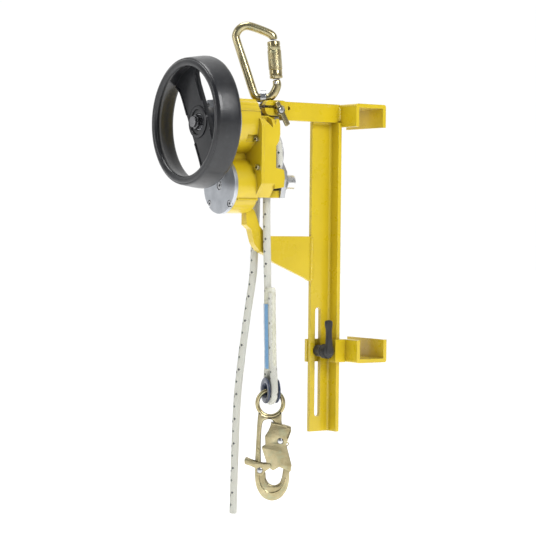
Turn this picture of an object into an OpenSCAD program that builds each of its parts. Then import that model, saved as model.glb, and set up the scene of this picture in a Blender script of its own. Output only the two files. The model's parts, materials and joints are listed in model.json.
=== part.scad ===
// Rope rescue and descent device with a handwheel, hung from a ladder bracket.
// The bracket hooks over two ladder rungs. The device lowers a load at a governed speed
// through a centrifugal brake, and its handwheel raises the load again.
// Frame: origin on the inner top face of the upper rung hook, +X from the device towards
// the ladder, +Z up. All sizes in millimetres.

/* [Bracket] */
// Inside width of both rung hooks
hook_inner = 38; // [30:1:44]
// Wall thickness of the hooks and the post
wall = 5; // [4:0.5:6]
// Clear depth of the hooks
hook_depth = 24.4; // [20:0.2:30]
// Length of the hooks along the rung
hook_length = 78; // [60:1:100]
// Height of the arm bar
arm_height = 23.5; // [20:0.5:28]
// Thickness of the arm bar
arm_thick = 12.7; // [10:0.1:14]
// Height of the angle post below the arm
post_length = 398; // [360:1:460]
// Wide leg of the angle post
post_leg_long = 34.6; // [30:0.2:38]
// Narrow leg of the angle post
post_leg_short = 21.6; // [20:0.2:24]
// Width of the adjusting slot
slot_width = 8.3; // [8.2:0.1:9]
// Length of the adjusting slot
slot_length = 141; // [120:1:160]
// Diameter of the hole in the arm
arm_hole = 5; // [4:0.5:8]

/* [Lower hook] */
// Height of the clamp stud as drawn, below the hook's inner top face
clamp_drop = 312; // [280:1:370]
// Length of the clamp lever
lever_length = 40; // [34:1:44]

/* [Handwheel] */
// Largest radius of the rim
wheel_radius = 82; // [70:1:95]
// Depth of the rim along the shaft
rim_depth = 33; // [26:1:36]
// Width of the two opposed webs
web_width = 40; // [30:1:48]
// Angle of the webs from upright
web_angle = 28; // [0:1:90]

/* [Device] */
// Radius of the upper barrel
upper_radius = 38; // [36:0.5:42]
// Radius of the lower barrel
lower_radius = 34.5; // [34:0.5:36]
// Thickness of the front plate
plate_thick = 5; // [4:0.5:6]
// Radius of the rope's centre line on the sheave
sheave_radius = 37.5; // [36:0.5:38]
// Gear module
gear_module = 1.25; // [1.25:0.01:1.26]

/* [Rope] */
// Rope diameter
rope_d = 9.6; // [8:0.1:10]

/* [Hidden] */
$fn = 64;
fit = 0.05;
hook_half = hook_inner / 2 + wall;
hook_height = hook_depth + wall;
arm_x0 = -112;
arm_y0 = -3.3;
arm_bottom = wall - arm_height;
post_x1 = -hook_half;
post_x0 = post_x1 - post_leg_long;
post_y0 = -8.6;
post_y1 = post_y0 + post_leg_short;
post_bottom = arm_bottom - post_length;
slot_x = -46.8;
slot_top = -256.5;
stud_z = -clamp_drop;
dev_y = 10.5;
wheel_z = -25;
sheave_z = wheel_z - 31 * gear_module;
brake_z = sheave_z - 31 * gear_module;
idler_y = dev_y + 20.64;
idler_z = sheave_z - 29.8;
plate_x0 = -199;
plate_x1 = plate_x0 + plate_thick;
case_x1 = -162;
bay_x0 = -144;
rope_x = -135;
rope_r = rope_d / 2;
wheel_x0 = -253;
wheel_x1 = wheel_x0 + rim_depth;
// Twist of the carabiner and the snap hook about the vertical
clip_turn = -34.7;
eye_x = -134;
eye_z = 9;
thimble = [-128, -3.5, -359.5];
yellow = [0.93, 0.78, 0.05];
steel = [0.75, 0.76, 0.78];
dark = [0.13, 0.13, 0.14];
gold = [0.78, 0.68, 0.42];
bronze = [0.72, 0.52, 0.3];
alu = [0.72, 0.73, 0.75];

// ---- helpers ----
// Cylinder along X from x0 to x1 at y, z
module xcyl(x0, x1, y, z, r) {
    translate([x0, y, z]) rotate([0, 90, 0]) cylinder(h = x1 - x0, r = r);
}
// Cylinder along Y from y0 to y1 at x, z
module ycyl(y0, y1, x, z, r) {
    translate([x, y1, z]) rotate([90, 0, 0]) cylinder(h = y1 - y0, r = r);
}
// Outline drawn in Y and Z, about the device's centre plane, extruded from x0 to x1
module xplate(x0, x1) {
    translate([x0, dev_y, 0]) rotate([90, 0, 90]) linear_extrude(x1 - x0) children();
}
// Outline drawn in X and Z extruded from y0 to y1
module yplate(y0, y1) {
    translate([0, y1, 0]) rotate([90, 0, 0]) linear_extrude(y1 - y0) children();
}
// Axis-aligned block between two corners
module block(a, b) {
    translate(a) cube(b - a);
}
// Box with rounded corners in plan
module soft_rect(x0, y0, x1, y1, r) {
    translate([x0 + r, y0]) square([x1 - x0 - 2 * r, y1 - y0]);
    translate([x0, y0 + r]) square([x1 - x0, y1 - y0 - 2 * r]);
    for (x = [x0 + r, x1 - r], y = [y0 + r, y1 - r]) translate([x, y]) circle(r);
}
// Involute gear outline, shortened addendum, small backlash
function inv_pt(rb, t) = [rb * (cos(t) + t * PI / 180 * sin(t)), rb * (sin(t) - t * PI / 180 * cos(t))];
function turn2(p, a) = [p.x * cos(a) - p.y * sin(a), p.x * sin(a) + p.y * cos(a)];
function flank(n, m, k) =
    let (rp = m * n / 2, rb = rp * cos(25), ro = rp + 0.8 * m, rs = max(rb, rp - 0.85 * m),
         r = rs + (ro - rs) * k / 3, t = sqrt(max(0, r * r / (rb * rb) - 1)) * 180 / PI,
         tp = tan(25) * 180 / PI, half = 90 / n - 0.06 / rp * 180 / PI)
    turn2(inv_pt(rb, t), -(half + tp - 25));
function gear_pts(n, m) =
    let (rr = m * n / 2 - 1.1 * m)
    [for (i = [0:n - 1]) each [
        turn2(rr * flank(n, m, 0) / norm(flank(n, m, 0)), i * 360 / n),
        for (k = [0:3]) turn2(flank(n, m, k), i * 360 / n),
        for (k = [3:-1:0]) turn2([flank(n, m, k).x, -flank(n, m, k).y], i * 360 / n),
        turn2(rr * [flank(n, m, 0).x, -flank(n, m, 0).y] / norm(flank(n, m, 0)), i * 360 / n)]];
// Spur gear along X, one tooth pointing at angle a from +Y towards +Z
module gear(n, x0, x1, y, z, a, bore) {
    translate([x0, y, z]) rotate([90, 0, 90]) linear_extrude(x1 - x0) difference() {
        rotate(a) polygon(gear_pts(n, gear_module));
        circle(bore);
    }
}

// Swept tube helpers: smooth curve through hand-set points, one ring per step
function catmull(p, i, t) =
    let (a = p[max(i - 1, 0)], b = p[i], c = p[i + 1], d = p[min(i + 2, len(p) - 1)])
    0.5 * (2 * b + (c - a) * t + (2 * a - 5 * b + 4 * c - d) * t * t + (3 * b - a - 3 * c + d) * t * t * t);
function curve(p, n) = [for (i = [0:len(p) - 2], k = [0:n - 1]) catmull(p, i, k / n), p[len(p) - 1]];
function unit(v) = v / norm(v);
function tangent(c, i) = unit(c[min(i + 1, len(c) - 1)] - c[max(i - 1, 0)]);
function ring(c, i, r, s, q, side) =
    let (t = tangent(c, i), u = unit(cross(t, side)), w = cross(u, t))
    [for (k = [0:s - 1]) c[i] + r * cos(k * 360 / s) * u + q * sin(k * 360 / s) * w];
module tube(c, r, s, q, side = [1, 0, 0.001]) {
    n = len(c);
    polyhedron(
        points = [for (i = [0:n - 1]) each ring(c, i, r, s, q, side)],
        faces = concat(
            [[for (k = [0:s - 1]) s - 1 - k]],
            [for (i = [0:n - 2], k = [0:s - 1])
                [i * s + k, i * s + (k + 1) % s, (i + 1) * s + (k + 1) % s, (i + 1) * s + k]],
            [[for (k = [0:s - 1]) (n - 1) * s + k]]));
}

// ---- bracket ----
// Inverted channel that hangs over the rung
module hook_outline() {
    difference() {
        union() {
            translate([-hook_half, 0]) square([2 * hook_half, hook_height - 3]);
            translate([-hook_half + 3, 0]) square([2 * hook_half - 6, hook_height]);
            for (s = [-1, 1]) translate([s * (hook_half - 3), hook_height - 3]) circle(3);
        }
        translate([-hook_inner / 2, -1]) square([hook_inner, hook_depth + 1]);
    }
}
module upper_hook() {
    color(yellow) yplate(-hook_length / 2, hook_length / 2) translate([0, -hook_depth]) hook_outline();
}
module arm() {
    color(yellow) difference() {
        block([arm_x0, arm_y0, arm_bottom], [-hook_half, arm_y0 + arm_thick, wall]);
        ycyl(arm_y0 - 1, arm_y0 + arm_thick + 1, -104.6, -3.4, arm_hole / 2);
    }
}
// Fork at the arm's end that takes the device's hanger
module arm_fork() {
    color(yellow) difference() {
        union() {
            yplate(-11.3, -3.3) soft_rect(-146, -14, -111, 5.4, 8);
            yplate(24.4, 30.4) soft_rect(-140, -14, -105, 2, 6);
            block([-117.7, 9.4, -14], [-105.5, 24.4, 2]);
            block([-117.7, -3.3, -14], [-112, 9.4, 2]);
        }
        yplate(-12, -3) translate([-147, -4.6]) square([17, 3.2]);
        ycyl(-12, 31, -126, -7, 4.1);
    }
}
module post() {
    color(yellow) difference() {
        translate([0, 0, post_bottom]) linear_extrude(post_length) union() {
            translate([post_x0, post_y1 - wall]) square([post_leg_long, wall]);
            translate([post_x1 - wall, post_y0]) square([wall, post_leg_short]);
            difference() {
                translate([post_x1 - wall - 3, post_y1 - wall - 3]) square([3.5, 3.5]);
                translate([post_x1 - wall - 3, post_y1 - wall - 3]) circle(3);
            }
        }
        yplate(post_y1 - wall - 1, post_y1 + 1) {
            translate([slot_x, slot_top - slot_width / 2]) circle(slot_width / 2);
            translate([slot_x, slot_top - slot_length + slot_width / 2]) circle(slot_width / 2);
            translate([slot_x - slot_width / 2, slot_top - slot_length + slot_width / 2])
                square([slot_width, slot_length - slot_width]);
        }
    }
}
// Gusset plate that stiffens the post and carries the rest finger
module gusset() {
    color(yellow) yplate(post_y1 - wall, post_y1) polygon([
        [post_x0, -165], [post_x0, -223], [post_x0 - 4, -222], [post_x0 - 9, -219],
        [-115.8, -199], [-131.9, -188.4], [-131.9, -165]]);
}
// Finger under the device: it keeps the hanging device from swinging into the post
module rest_finger() {
    color(yellow) yplate(dev_y - 5.5, dev_y + 5.5) polygon([
        [-131.9, -188.4], [-141.6, -183.4], [-146.5, -178], [-149.7, -172.6], [-154.3, -156.8],
        [-161.6, -151], [-161.6, -124], [-157.5, -124], [-154.5, -131], [-151.4, -131], [-149.4, -133],
        [-146.1, -140.7], [-141.1, -152.4], [-136.5, -157.2], [-131.9, -160]]);
}
// Weld beads along the joints of the bracket
module bracket_welds() {
    color(yellow) {
        translate([post_x0, post_y1 - wall, -223]) linear_extrude(58)
            polygon([[-3, 0], [3, 0], [2, -1.3], [-2, -1.3]]);
        translate([post_x0, post_y1 - wall, arm_bottom]) rotate([90, 0, 90]) linear_extrude(post_leg_long - wall - 3.4)
            polygon([[0, 0], [-3.6, 0], [-3.2, -1.6], [-1.6, -3.2], [0, -3.6]]);
        translate([post_x1, arm_y0, arm_bottom + 0.5]) linear_extrude(arm_height - 3)
            polygon([[0, 0], [-3.4, 0], [-3, -1.5], [-1.5, -3], [0, -3.4]]);
        translate([-111, arm_y0, -6]) linear_extrude(3.4)
            polygon([[0, 0], [3, 0], [2.6, -1.4], [1.4, -2.6], [0, -3]]);
    }
}

// ---- sliding lower hook ----
module slide_plate() {
    z0 = stud_z - 14.7;
    color(yellow) difference() {
        translate([0, 0, z0]) linear_extrude(29.4) union() {
            translate([post_x0 - 1.2, post_y1 + 0.3]) square([post_leg_long + 6.5, wall]);
            translate([post_x1 + 0.3, post_y0 - 5.3]) square([wall, post_leg_short + 5.6 + wall]);
            translate([post_x1 - wall - 5.3, post_y0 - 5.3]) square([wall + 5.6 + wall, 5]);
            translate([post_x1 - wall - 5.3, post_y0 - 5.3]) square([5, 14]);
        }
        ycyl(post_y1, post_y1 + 6, slot_x, stud_z, 4);
    }
}
module lower_hook() {
    x0 = post_x1 + 0.3 + wall;
    color(yellow) translate([x0 + hook_half, 0, stud_z + 14.7 - hook_depth]) mirror([0, 0, 1])
        yplate(-hook_length / 2, hook_length / 2) translate([0, -hook_depth]) hook_outline();
}
module clamp_stud() {
    color(steel) {
        ycyl(-12, post_y1 + 5.4, slot_x, stud_z, 4);
        translate([slot_x, post_y1 + 5.3 + wall, stud_z]) rotate([90, 30, 0]) cylinder(h = 5, r = 7.5, $fn = 6);
    }
}
// Ratchet clamp handle
module clamp_lever() {
    color(dark) difference() {
        union() {
            ycyl(-16, post_y1 - wall - 0.2, slot_x, stud_z, 7.5);
            ycyl(-17.5, -3, slot_x, stud_z, 9);
            yplate(-20, -14.2) translate([slot_x, stud_z]) rotate(2) polygon([
                [-6.5, 0], [6.5, 0], [5.2, lever_length - 9], [6.2, lever_length - 3],
                [4, lever_length], [-4, lever_length], [-6.2, lever_length - 4], [-5, lever_length - 9]]);
        }
        ycyl(-12.2, 9, slot_x, stud_z, 4 + fit);
        ycyl(-21, -14, slot_x, stud_z, 4.5);
    }
}
module lever_screw() {
    color(steel) ycyl(-17, -14, slot_x, stud_z, 4.3);
}

// ---- handwheel group, turning on the main shaft ----
module handwheel() {
    color(dark) translate([wheel_x0, dev_y, wheel_z]) difference() {
        union() {
            rotate([0, 90, 0]) rotate_extrude($fn = 128) polygon([
                [wheel_radius - 14, 1.5], [wheel_radius - 12.5, 0], [wheel_radius - 6, 0],
                [wheel_radius - 4.5, 1.5], [wheel_radius - 1.4, rim_depth * 0.55],
                [wheel_radius, rim_depth - 5], [wheel_radius - 1.5, rim_depth],
                [wheel_radius - 9, rim_depth], [wheel_radius - 10.5, rim_depth - 3]]);
            intersection() {
                rotate([0, 90, 0]) cylinder(h = rim_depth, r = wheel_radius - 9);
                rotate([-web_angle, 0, 0]) translate([rim_depth - 11, -web_width / 2, -wheel_radius])
                    cube([7, web_width, 2 * wheel_radius]);
            }
            translate([20, 0, 0]) rotate([0, 90, 0]) cylinder(h = 27, r = 20);
        }
        rotate([0, 90, 0]) cylinder(h = 60, r = 10);
        translate([19, 0, 0]) rotate([0, 90, 0]) cylinder(h = 4, r = 15);
    }
}
module hub_bush() {
    color(steel) difference() {
        xcyl(-230, -206, dev_y, wheel_z, 10);
        xcyl(-231, -205, dev_y, wheel_z, 6);
    }
}
module wheel_nut() {
    color(steel) difference() {
        union() {
            translate([-236, dev_y, wheel_z]) rotate([0, 90, 0]) cylinder(h = 6, r = 9, $fn = 6);
            xcyl(-239.5, -236, dev_y, wheel_z, 6.8);
        }
        xcyl(-238, -229, dev_y, wheel_z, 6);
    }
}
module main_shaft() {
    color(steel) {
        xcyl(-238, -206, dev_y, wheel_z, 6);
        xcyl(-206, -155, dev_y, wheel_z, 7);
        xcyl(-155, -146.3, dev_y, wheel_z, 5);
    }
}
module wheel_pinion() {
    color(steel) gear(16, -154.5, -148.5, dev_y, wheel_z, 270, 5);
}

// ---- housing ----
module case_outline() {
    polygon([[-44.5, -100], [-44.5, -27], [-40, -20], [-26, -15], [26, -15], [40, -20],
        [44.5, -27], [44.5, -100], [30, -117], [-30, -117]]);
    translate([0, wheel_z]) circle(15.5);
}
module plate_outline() {
    difference() {
        union() {
            translate([0, wheel_z]) circle(upper_radius + 4);
            translate([0, brake_z]) circle(lower_radius + 0.8);
            translate([-22, brake_z]) square([44, wheel_z - brake_z]);
        }
        translate([-60, 5]) square([120, 60]);
    }
}
// Screw places on the front plate, as offsets from the centre plane and heights
plate_holes = [[-22.5, brake_z - 22.3], [22.5, brake_z - 22.3], [-27, wheel_z + 22], [27, wheel_z + 22]];
case_holes = [[-34, -45], [34, -45], [-37, -80], [37, -80]];
module front_plate() {
    color(alu) difference() {
        union() {
            xplate(plate_x0, plate_x1) plate_outline();
            xcyl(plate_x1, plate_x1 + 5, dev_y, brake_z, 10);
        }
        xcyl(plate_x0 - 1, plate_x1 + 1, dev_y, wheel_z, 13);
        xcyl(plate_x0 - 1, plate_x0 + 2.6, dev_y, brake_z, 5.5);
        xcyl(plate_x1 - 1.2, plate_x1 + 6, dev_y, brake_z, 6.5);
        for (p = plate_holes) {
            xcyl(plate_x0 - 1, plate_x1 + 1, dev_y + p[0], p[1], 2);
            xcyl(plate_x0 - 1, plate_x0 + 3, dev_y + p[0], p[1], 4.4);
        }
    }
}
// Yellow front casting: shaft barrel above, brake barrel below, rear flange
module gear_case() {
    color(yellow) difference() {
        union() {
            difference() {
                union() {
                    xcyl(plate_x1, case_x1, dev_y, wheel_z, upper_radius);
                    for (p = plate_holes) intersection() {
                        xcyl(plate_x1, case_x1, dev_y + p[0], p[1], 4.2);
                        xcyl(plate_x1, case_x1, dev_y, wheel_z, upper_radius + 1);
                    }
                }
                block([plate_x1 - 1, -60, 5], [case_x1 + 1, 80, 40]);
            }
            xcyl(plate_x1, case_x1, dev_y, brake_z, lower_radius);
            block([plate_x1 + 4, dev_y - 9, brake_z + 28], [case_x1, dev_y + 9, wheel_z - 30]);
            xplate(case_x1 - 4, case_x1) case_outline();
            block([plate_x1 + 2, dev_y - 31.5, brake_z - 18.5], [case_x1, dev_y - 26, brake_z - 16.1]);
            block([plate_x1 + 2, dev_y - 36, wheel_z + 14.6], [case_x1, dev_y - 31, wheel_z + 16.6]);
        }
        difference() {
            xcyl(plate_x1 - 1, case_x1 - 4, dev_y, wheel_z, upper_radius - 5);
            xcyl(plate_x1 - 2, case_x1, dev_y, wheel_z, 15);
            for (p = plate_holes) xcyl(plate_x1 - 2, case_x1, dev_y + p[0], p[1], 5);
            block([plate_x1 - 2, -60, 0], [case_x1, 80, 40]);
        }
        xcyl(plate_x1 - 1, case_x1 + 1, dev_y, wheel_z, 10);
        xcyl(plate_x1 - 1, case_x1 - 4, dev_y, brake_z, 29);
        xcyl(case_x1 - 5, case_x1 + 1, dev_y, brake_z, 6.5);
        xcyl(case_x1 - 4.2, case_x1 + 1, dev_y, sheave_z, 9);
        xcyl(case_x1 - 4.2, case_x1 + 1, idler_y, idler_z, 6);
        for (p = plate_holes) xcyl(plate_x1 - 1, plate_x1 + 10, dev_y + p[0], p[1], 1.6);
        for (p = case_holes) {
            xcyl(case_x1 - 5, case_x1 + 1, dev_y + p[0], p[1], 2.2);
            xcyl(-180, case_x1 - 4, dev_y + p[0], p[1], 5.2);
        }
    }
}
// Side guard of the sheave bay, seen along Y
module guard_outline() {
    polygon([[-145, -24], [-144, -20.5], [-142, -19], [-140, -20], [-138.5, -26], [-138.2, -38],
        [-140, -47], [-144.5, -54], [-144.6, -80], [-132, -82], [-130.5, -92], [-132, -104],
        [-144, -106], [-144, -106.1], [-146, -106], [-146, -30]]);
}
// Yellow rear casting: gear room in front, sheave bay behind
module sheave_case() {
    color(yellow) difference() {
        union() {
            xplate(case_x1, bay_x0) case_outline();
            for (s = [0, 1]) translate([0, s * 2 * dev_y, 0]) mirror([0, s, 0])
                yplate(dev_y - 44.5, dev_y - 40.2) guard_outline();
            block([bay_x0 - 1, dev_y - 14, -20.9], [-126, dev_y + 14, -15]);
            block([bay_x0 - 1, dev_y - 25.5, -117], [-126, dev_y - 21.2, -108]);
            block([bay_x0 - 1, dev_y + 21.2, -117], [-126, dev_y + 25.5, -108]);
        }
        xcyl(case_x1 - 1, -148, dev_y, sheave_z, 30.8);
        xcyl(case_x1 - 1, -148, dev_y, wheel_z, 12.6);
        xcyl(case_x1 - 1, -148, idler_y, idler_z, 18.4);
        xcyl(case_x1 - 1, -148, dev_y, brake_z, 9);
        xcyl(-149, bay_x0 + 1, dev_y, sheave_z, 8);
        xcyl(-149, -146, dev_y, wheel_z, 5 + fit);
        xcyl(-149, bay_x0 + 1, idler_y, idler_z, 6);
        // Notch between the casting's shoulder and the guard's horn
        for (s = [0, 1]) translate([0, s * 2 * dev_y, 0]) mirror([0, s, 0])
            yplate(dev_y - 46, dev_y - 30) polygon([[-160, -12], [-158, -22], [-150, -30.5], [-147.5, -12]]);
        for (p = case_holes) xcyl(case_x1 - 1, -152, dev_y + p[0], p[1], 1.8);
    }
}
module main_bushings() {
    color(bronze) for (x = [plate_x1, -172]) difference() {
        xcyl(x, x + 10, dev_y, wheel_z, 10);
        xcyl(x - 1, x + 11, dev_y, wheel_z, 7 + fit);
    }
}
module sheave_bushings() {
    color(bronze) difference() {
        union() {
            xcyl(case_x1 - 4, case_x1, dev_y, sheave_z, 9);
            xcyl(-126, -119, dev_y, sheave_z, 9);
        }
        xcyl(case_x1 - 5, -118, dev_y, sheave_z, 7 + fit);
    }
}
module idler_bushings() {
    color(bronze) difference() {
        union() {
            xcyl(case_x1 - 4, case_x1, idler_y, idler_z, 6);
            xcyl(-148, bay_x0, idler_y, idler_z, 6);
        }
        xcyl(case_x1 - 5, bay_x0 + 1, idler_y, idler_z, 4 + fit);
    }
}
module brake_bushings() {
    color(bronze) difference() {
        union() {
            xcyl(case_x1 - 4, case_x1, dev_y, brake_z, 6.5);
            xcyl(plate_x1 - 1.2, plate_x1 + 5, dev_y, brake_z, 6.5);
        }
        xcyl(plate_x1, case_x1 + 1, dev_y, brake_z, 4.2 + fit);
    }
}
module shaft_seal() {
    color(dark) difference() {
        xcyl(plate_x0 + 1, plate_x1 - 0.5, dev_y, wheel_z, 13);
        xcyl(plate_x0, plate_x1, dev_y, wheel_z, 7 + fit);
    }
}
module plate_screws() {
    color(steel) for (p = plate_holes) difference() {
        union() {
            xcyl(plate_x0 + 0.4, plate_x0 + 3, dev_y + p[0], p[1], 3.6);
            xcyl(plate_x0 + 3, plate_x1 + 9, dev_y + p[0], p[1], 1.6);
        }
        translate([plate_x0, dev_y + p[0], p[1]]) rotate([0, 90, 0]) cylinder(h = 2, r = 1.7, $fn = 6);
    }
    color(steel) difference() {
        xcyl(plate_x0 + 0.3, plate_x0 + 2.6, dev_y, brake_z, 4.6);
        translate([plate_x0, dev_y, brake_z]) rotate([0, 90, 0]) cylinder(h = 1.6, r = 2.1, $fn = 6);
    }
}
module case_screws() {
    color(steel) for (p = case_holes) difference() {
        union() {
            xcyl(-169, case_x1 - 4, dev_y + p[0], p[1], 3.6);
            xcyl(case_x1 - 4, -153, dev_y + p[0], p[1], 1.8);
        }
        translate([-170, dev_y + p[0], p[1]]) rotate([0, 90, 0]) cylinder(h = 3, r = 1.8, $fn = 6);
    }
}

// ---- sheave shaft ----
module sheave_shaft() {
    color(steel) {
        xcyl(-165.5, -117.5, dev_y, sheave_z, 7);
        xcyl(-117.5, -115.5, dev_y, sheave_z, 5);
    }
}
module drive_gear() {
    color(steel) difference() {
        gear(46, -154.5, -148.5, dev_y, sheave_z, 90 + 180 / 46, 7);
        for (a = [0:60:300]) translate([0, dev_y, sheave_z]) rotate([a, 0, 0])
            xcyl(-156, -147, 0, 18, 6);
    }
}
module sheave() {
    color(alu) translate([-142.6, dev_y, sheave_z]) rotate([0, 90, 0]) rotate_extrude($fn = 96)
        difference() {
            polygon([[7, 0], [37, 0], [37, 1.2], [33.4, 2.2], [33.4, 13], [37, 14], [37, 15.2], [7, 15.2]]);
            translate([sheave_radius, 7.6]) circle(rope_r + 0.8);
            translate([22, -1]) circle(3.2);
            translate([22, 16.2]) circle(3.2);
        }
}

idler_a = atan2(29.8, -20.64);
idler_b = atan2(brake_z - idler_z, dev_y - idler_y);
// Pinion cut on its own shaft
module idler_pinion() {
    color(steel) {
        gear(12, -154.5, -148.5, idler_y, idler_z, pinion_turn, 3);
        xcyl(-165.8, -144.3, idler_y, idler_z, 4);
    }
}
module idler_gear() {
    color(steel) gear(26, -161, -155.2, idler_y, idler_z, idler_b, 4);
}
// Tooth phase of the idler pinion: a space faces the drive gear's tooth on the centre line
drive_tooth = 90 + 180 / 46;
line_out = atan2(-29.8, 20.64);
slip = (line_out - drive_tooth) / (360 / 46);
slip_part = slip - floor(slip);
pinion_turn = line_out + 180 + slip_part * 360 / 12 + 180 / 12;

// Long pinion shaft that spins the shoes
module brake_pinion() {
    color(steel) {
        gear(10, -161, -155.4, dev_y, brake_z, idler_b + 180 + 18, 3);
        xcyl(plate_x1 + 0.3, -155.4, dev_y, brake_z, 4.2);
    }
}
module brake_drum() {
    color(steel) difference() {
        xcyl(-188, -167, dev_y, brake_z, 29);
        xcyl(-189, -166, dev_y, brake_z, 26.2);
    }
}
module shoe_carrier() {
    color(steel) difference() {
        union() {
            xcyl(-187.5, -168, dev_y, brake_z, 8);
            for (a = [0:120:240]) translate([0, dev_y, brake_z]) rotate([a + 60, 0, 0])
                block([-187.5, -2, 0], [-168, 2, 23.5]);
        }
        xcyl(-190, -166, dev_y, brake_z, 4.2);
    }
}
// One lined centrifugal shoe; a is its angle from upright
module shoe(a) {
    color(bronze) translate([0, dev_y, brake_z]) rotate([a, 0, 0]) intersection() {
        difference() {
            xcyl(-186.5, -169, 0, 0, 25.2);
            xcyl(-188, -167, 0, 0, 9);
        }
        translate([-190, 0, 0]) rotate([90, 0, 90]) linear_extrude(30)
            polygon([[0, 4], [-32, 22.5], [-32, 40], [32, 40], [32, 22.5]]);
    }
}
module shoe_a() { shoe(0); }
module shoe_b() { shoe(120); }
module shoe_c() { shoe(240); }
// ---- rear of the device ----
module rear_frame() {
    color(alu) difference() {
        union() {
            xplate(-126, -119) union() {
                polygon([[-17.5, -63], [-33, -84.4], [-33.5, -94], [-28, -117], [28, -117],
                    [33.5, -94], [33, -84.4], [17.5, -63]]);
                translate([-14, -64]) square([28, 49]);
                translate([0, sheave_z]) circle(17.5);
            }
            xcyl(-119, -117.6, dev_y - 24, -97, 11);
        }
        xcyl(-127, -117, dev_y, sheave_z, 9);
        xcyl(-127, -117, dev_y - 24, -97, 4);
        for (y = [-9, 9]) xcyl(-127, -118, dev_y + y, -18, 1.8);
        for (y = [-21.5, 21.5]) xcyl(-127, -118, dev_y + y, -112.5, 1.8);
    }
}
module frame_screws() {
    color(steel) {
        for (y = [-9, 9]) {
            xcyl(-119, -116.6, dev_y + y, -18, 2.9);
            xcyl(-126, -119, dev_y + y, -18, 1.8);
        }
        for (y = [-21.5, 21.5]) {
            xcyl(-119, -116.6, dev_y + y, -112.5, 2.9);
            xcyl(-126, -119, dev_y + y, -112.5, 1.8);
        }
    }
}
module shaft_clip() {
    color(steel) difference() {
        xcyl(-117.5, -116.3, dev_y, sheave_z, 8.5);
        xcyl(-118, -115, dev_y, sheave_z, 5);
        block([-118, dev_y - 2, sheave_z - 10], [-115, dev_y + 2, sheave_z]);
    }
}
// Two-hole block that guides both strands out of the housing
module rope_guide() {
    color(dark) difference() {
        block([-143.8, dev_y - 17.8, -117], [-126.2, dev_y + 17.8, -110]);
        for (s = [-1, 1]) translate([rope_x, dev_y + s * 11.4, -118]) cylinder(h = 9, r1 = rope_r + 0.3, r2 = rope_r + 4.4);
    }
}
// Spring plunger that can be pulled out to pass the rope
module pull_knob() {
    color([0.86, 0.86, 0.84]) {
        difference() {
            xcyl(-117.4, -106, dev_y - 24, -97, 9.5);
            xcyl(-118, -112, dev_y - 24, -97, 6.5);
        }
    }
}
module plunger_pin() {
    color(steel) {
        xcyl(-129, -112, dev_y - 24, -97, 4 - fit);
    }
}
// ---- hanger and anchor ----
// Steel block bolted on the casting; the release pin passes through it
module hanger() {
    color(steel) difference() {
        union() {
            block([-144, dev_y - 12, -15], [-118.5, dev_y + 13, -3]);
            translate([eye_x, dev_y, -3]) cylinder(h = 1.5, r = 7.5);
        }
        ycyl(-10, 31, -126, -7, 4.1);
        translate([eye_x, dev_y, -13]) cylinder(h = 14, r = 3.5 + fit);
    }
}
// Swivel eye that the carabiner is clipped in
module swivel_eye() {
    color(steel) translate([eye_x, dev_y, 0]) rotate([0, 0, clip_turn]) difference() {
        union() {
            translate([0, 0, -12.8]) cylinder(h = 14, r = 3.5);
            translate([-3.6, 0, eye_z]) rotate([0, 90, 0]) cylinder(h = 7.2, r = 10);
            translate([0, 0, -1.3]) cylinder(h = 3, r = 5.6);
        }
        translate([-10, 0, eye_z]) rotate([0, 90, 0]) cylinder(h = 20, r = 6.1);
    }
}
module release_pin() {
    color(steel) {
        ycyl(-15, 33, -126, -7, 4);
        ycyl(33, 35, -126, -7, 6);
    }
}
module release_lever() {
    color(gold) difference() {
        union() {
            yplate(-18, -15) translate([-126, -7]) rotate(31) polygon([[-3.2, 12], [3.2, 12], [3.4, -22], [-3.4, -22]]);
            ycyl(-18.6, -11.6, -126, -7, 6);
        }
        ycyl(-15, -11, -126, -7, 4);
    }
}
// ---- carabiner, drawn in its own plane then turned about the vertical ----
// Places the carabiner's own plane at the eye
module clip_frame() {
    translate([eye_x, dev_y, eye_z]) rotate([0, 0, clip_turn]) children();
}
module carabiner_body() {
    color(gold) clip_frame() tube(curve([[16.4, 0, 22.4], [17.2, 0, 15.5], [13.6, 0, 6.6], [9, 0, 1.4], [4.5, 0, 0],
        [-4.5, 0, 0], [-9, 0, 1.6], [-12, 0, 6], [-34.2, 0, 72.5], [-35, 0, 79], [-31.8, 0, 85.5], [-26, 0, 89.6],
        [-18, 0, 90.2], [-2, 0, 85], [7.4, 0, 80.9], [11.4, 0, 77.4], [12.2, 0, 74.2]], 3), 5.4, 16, 5.4, [0, 1, 0]);
}
module carabiner_gate() {
    color(gold) clip_frame() translate([14.2, 0, 48]) rotate([0, -4.8, 0])
        cylinder(h = 48.4, r = 4.6, center = true);
}
module gate_sleeve() {
    color(gold) clip_frame() translate([14.2, 0, 48]) rotate([0, -4.8, 0]) difference() {
        union() {
            cylinder(h = 47, r = 8.2, center = true);
            cylinder(h = 24, r = 8.7, center = true);
        }
        cylinder(h = 60, r = 4.6 + fit, center = true);
    }
}
// ---- snap hook, drawn in its own plane under the thimble ----
ring_r = 16.3;
module hook_frame() {
    translate(thimble) rotate([0, 0, clip_turn]) translate([0, 0, -ring_r]) children();
}
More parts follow.
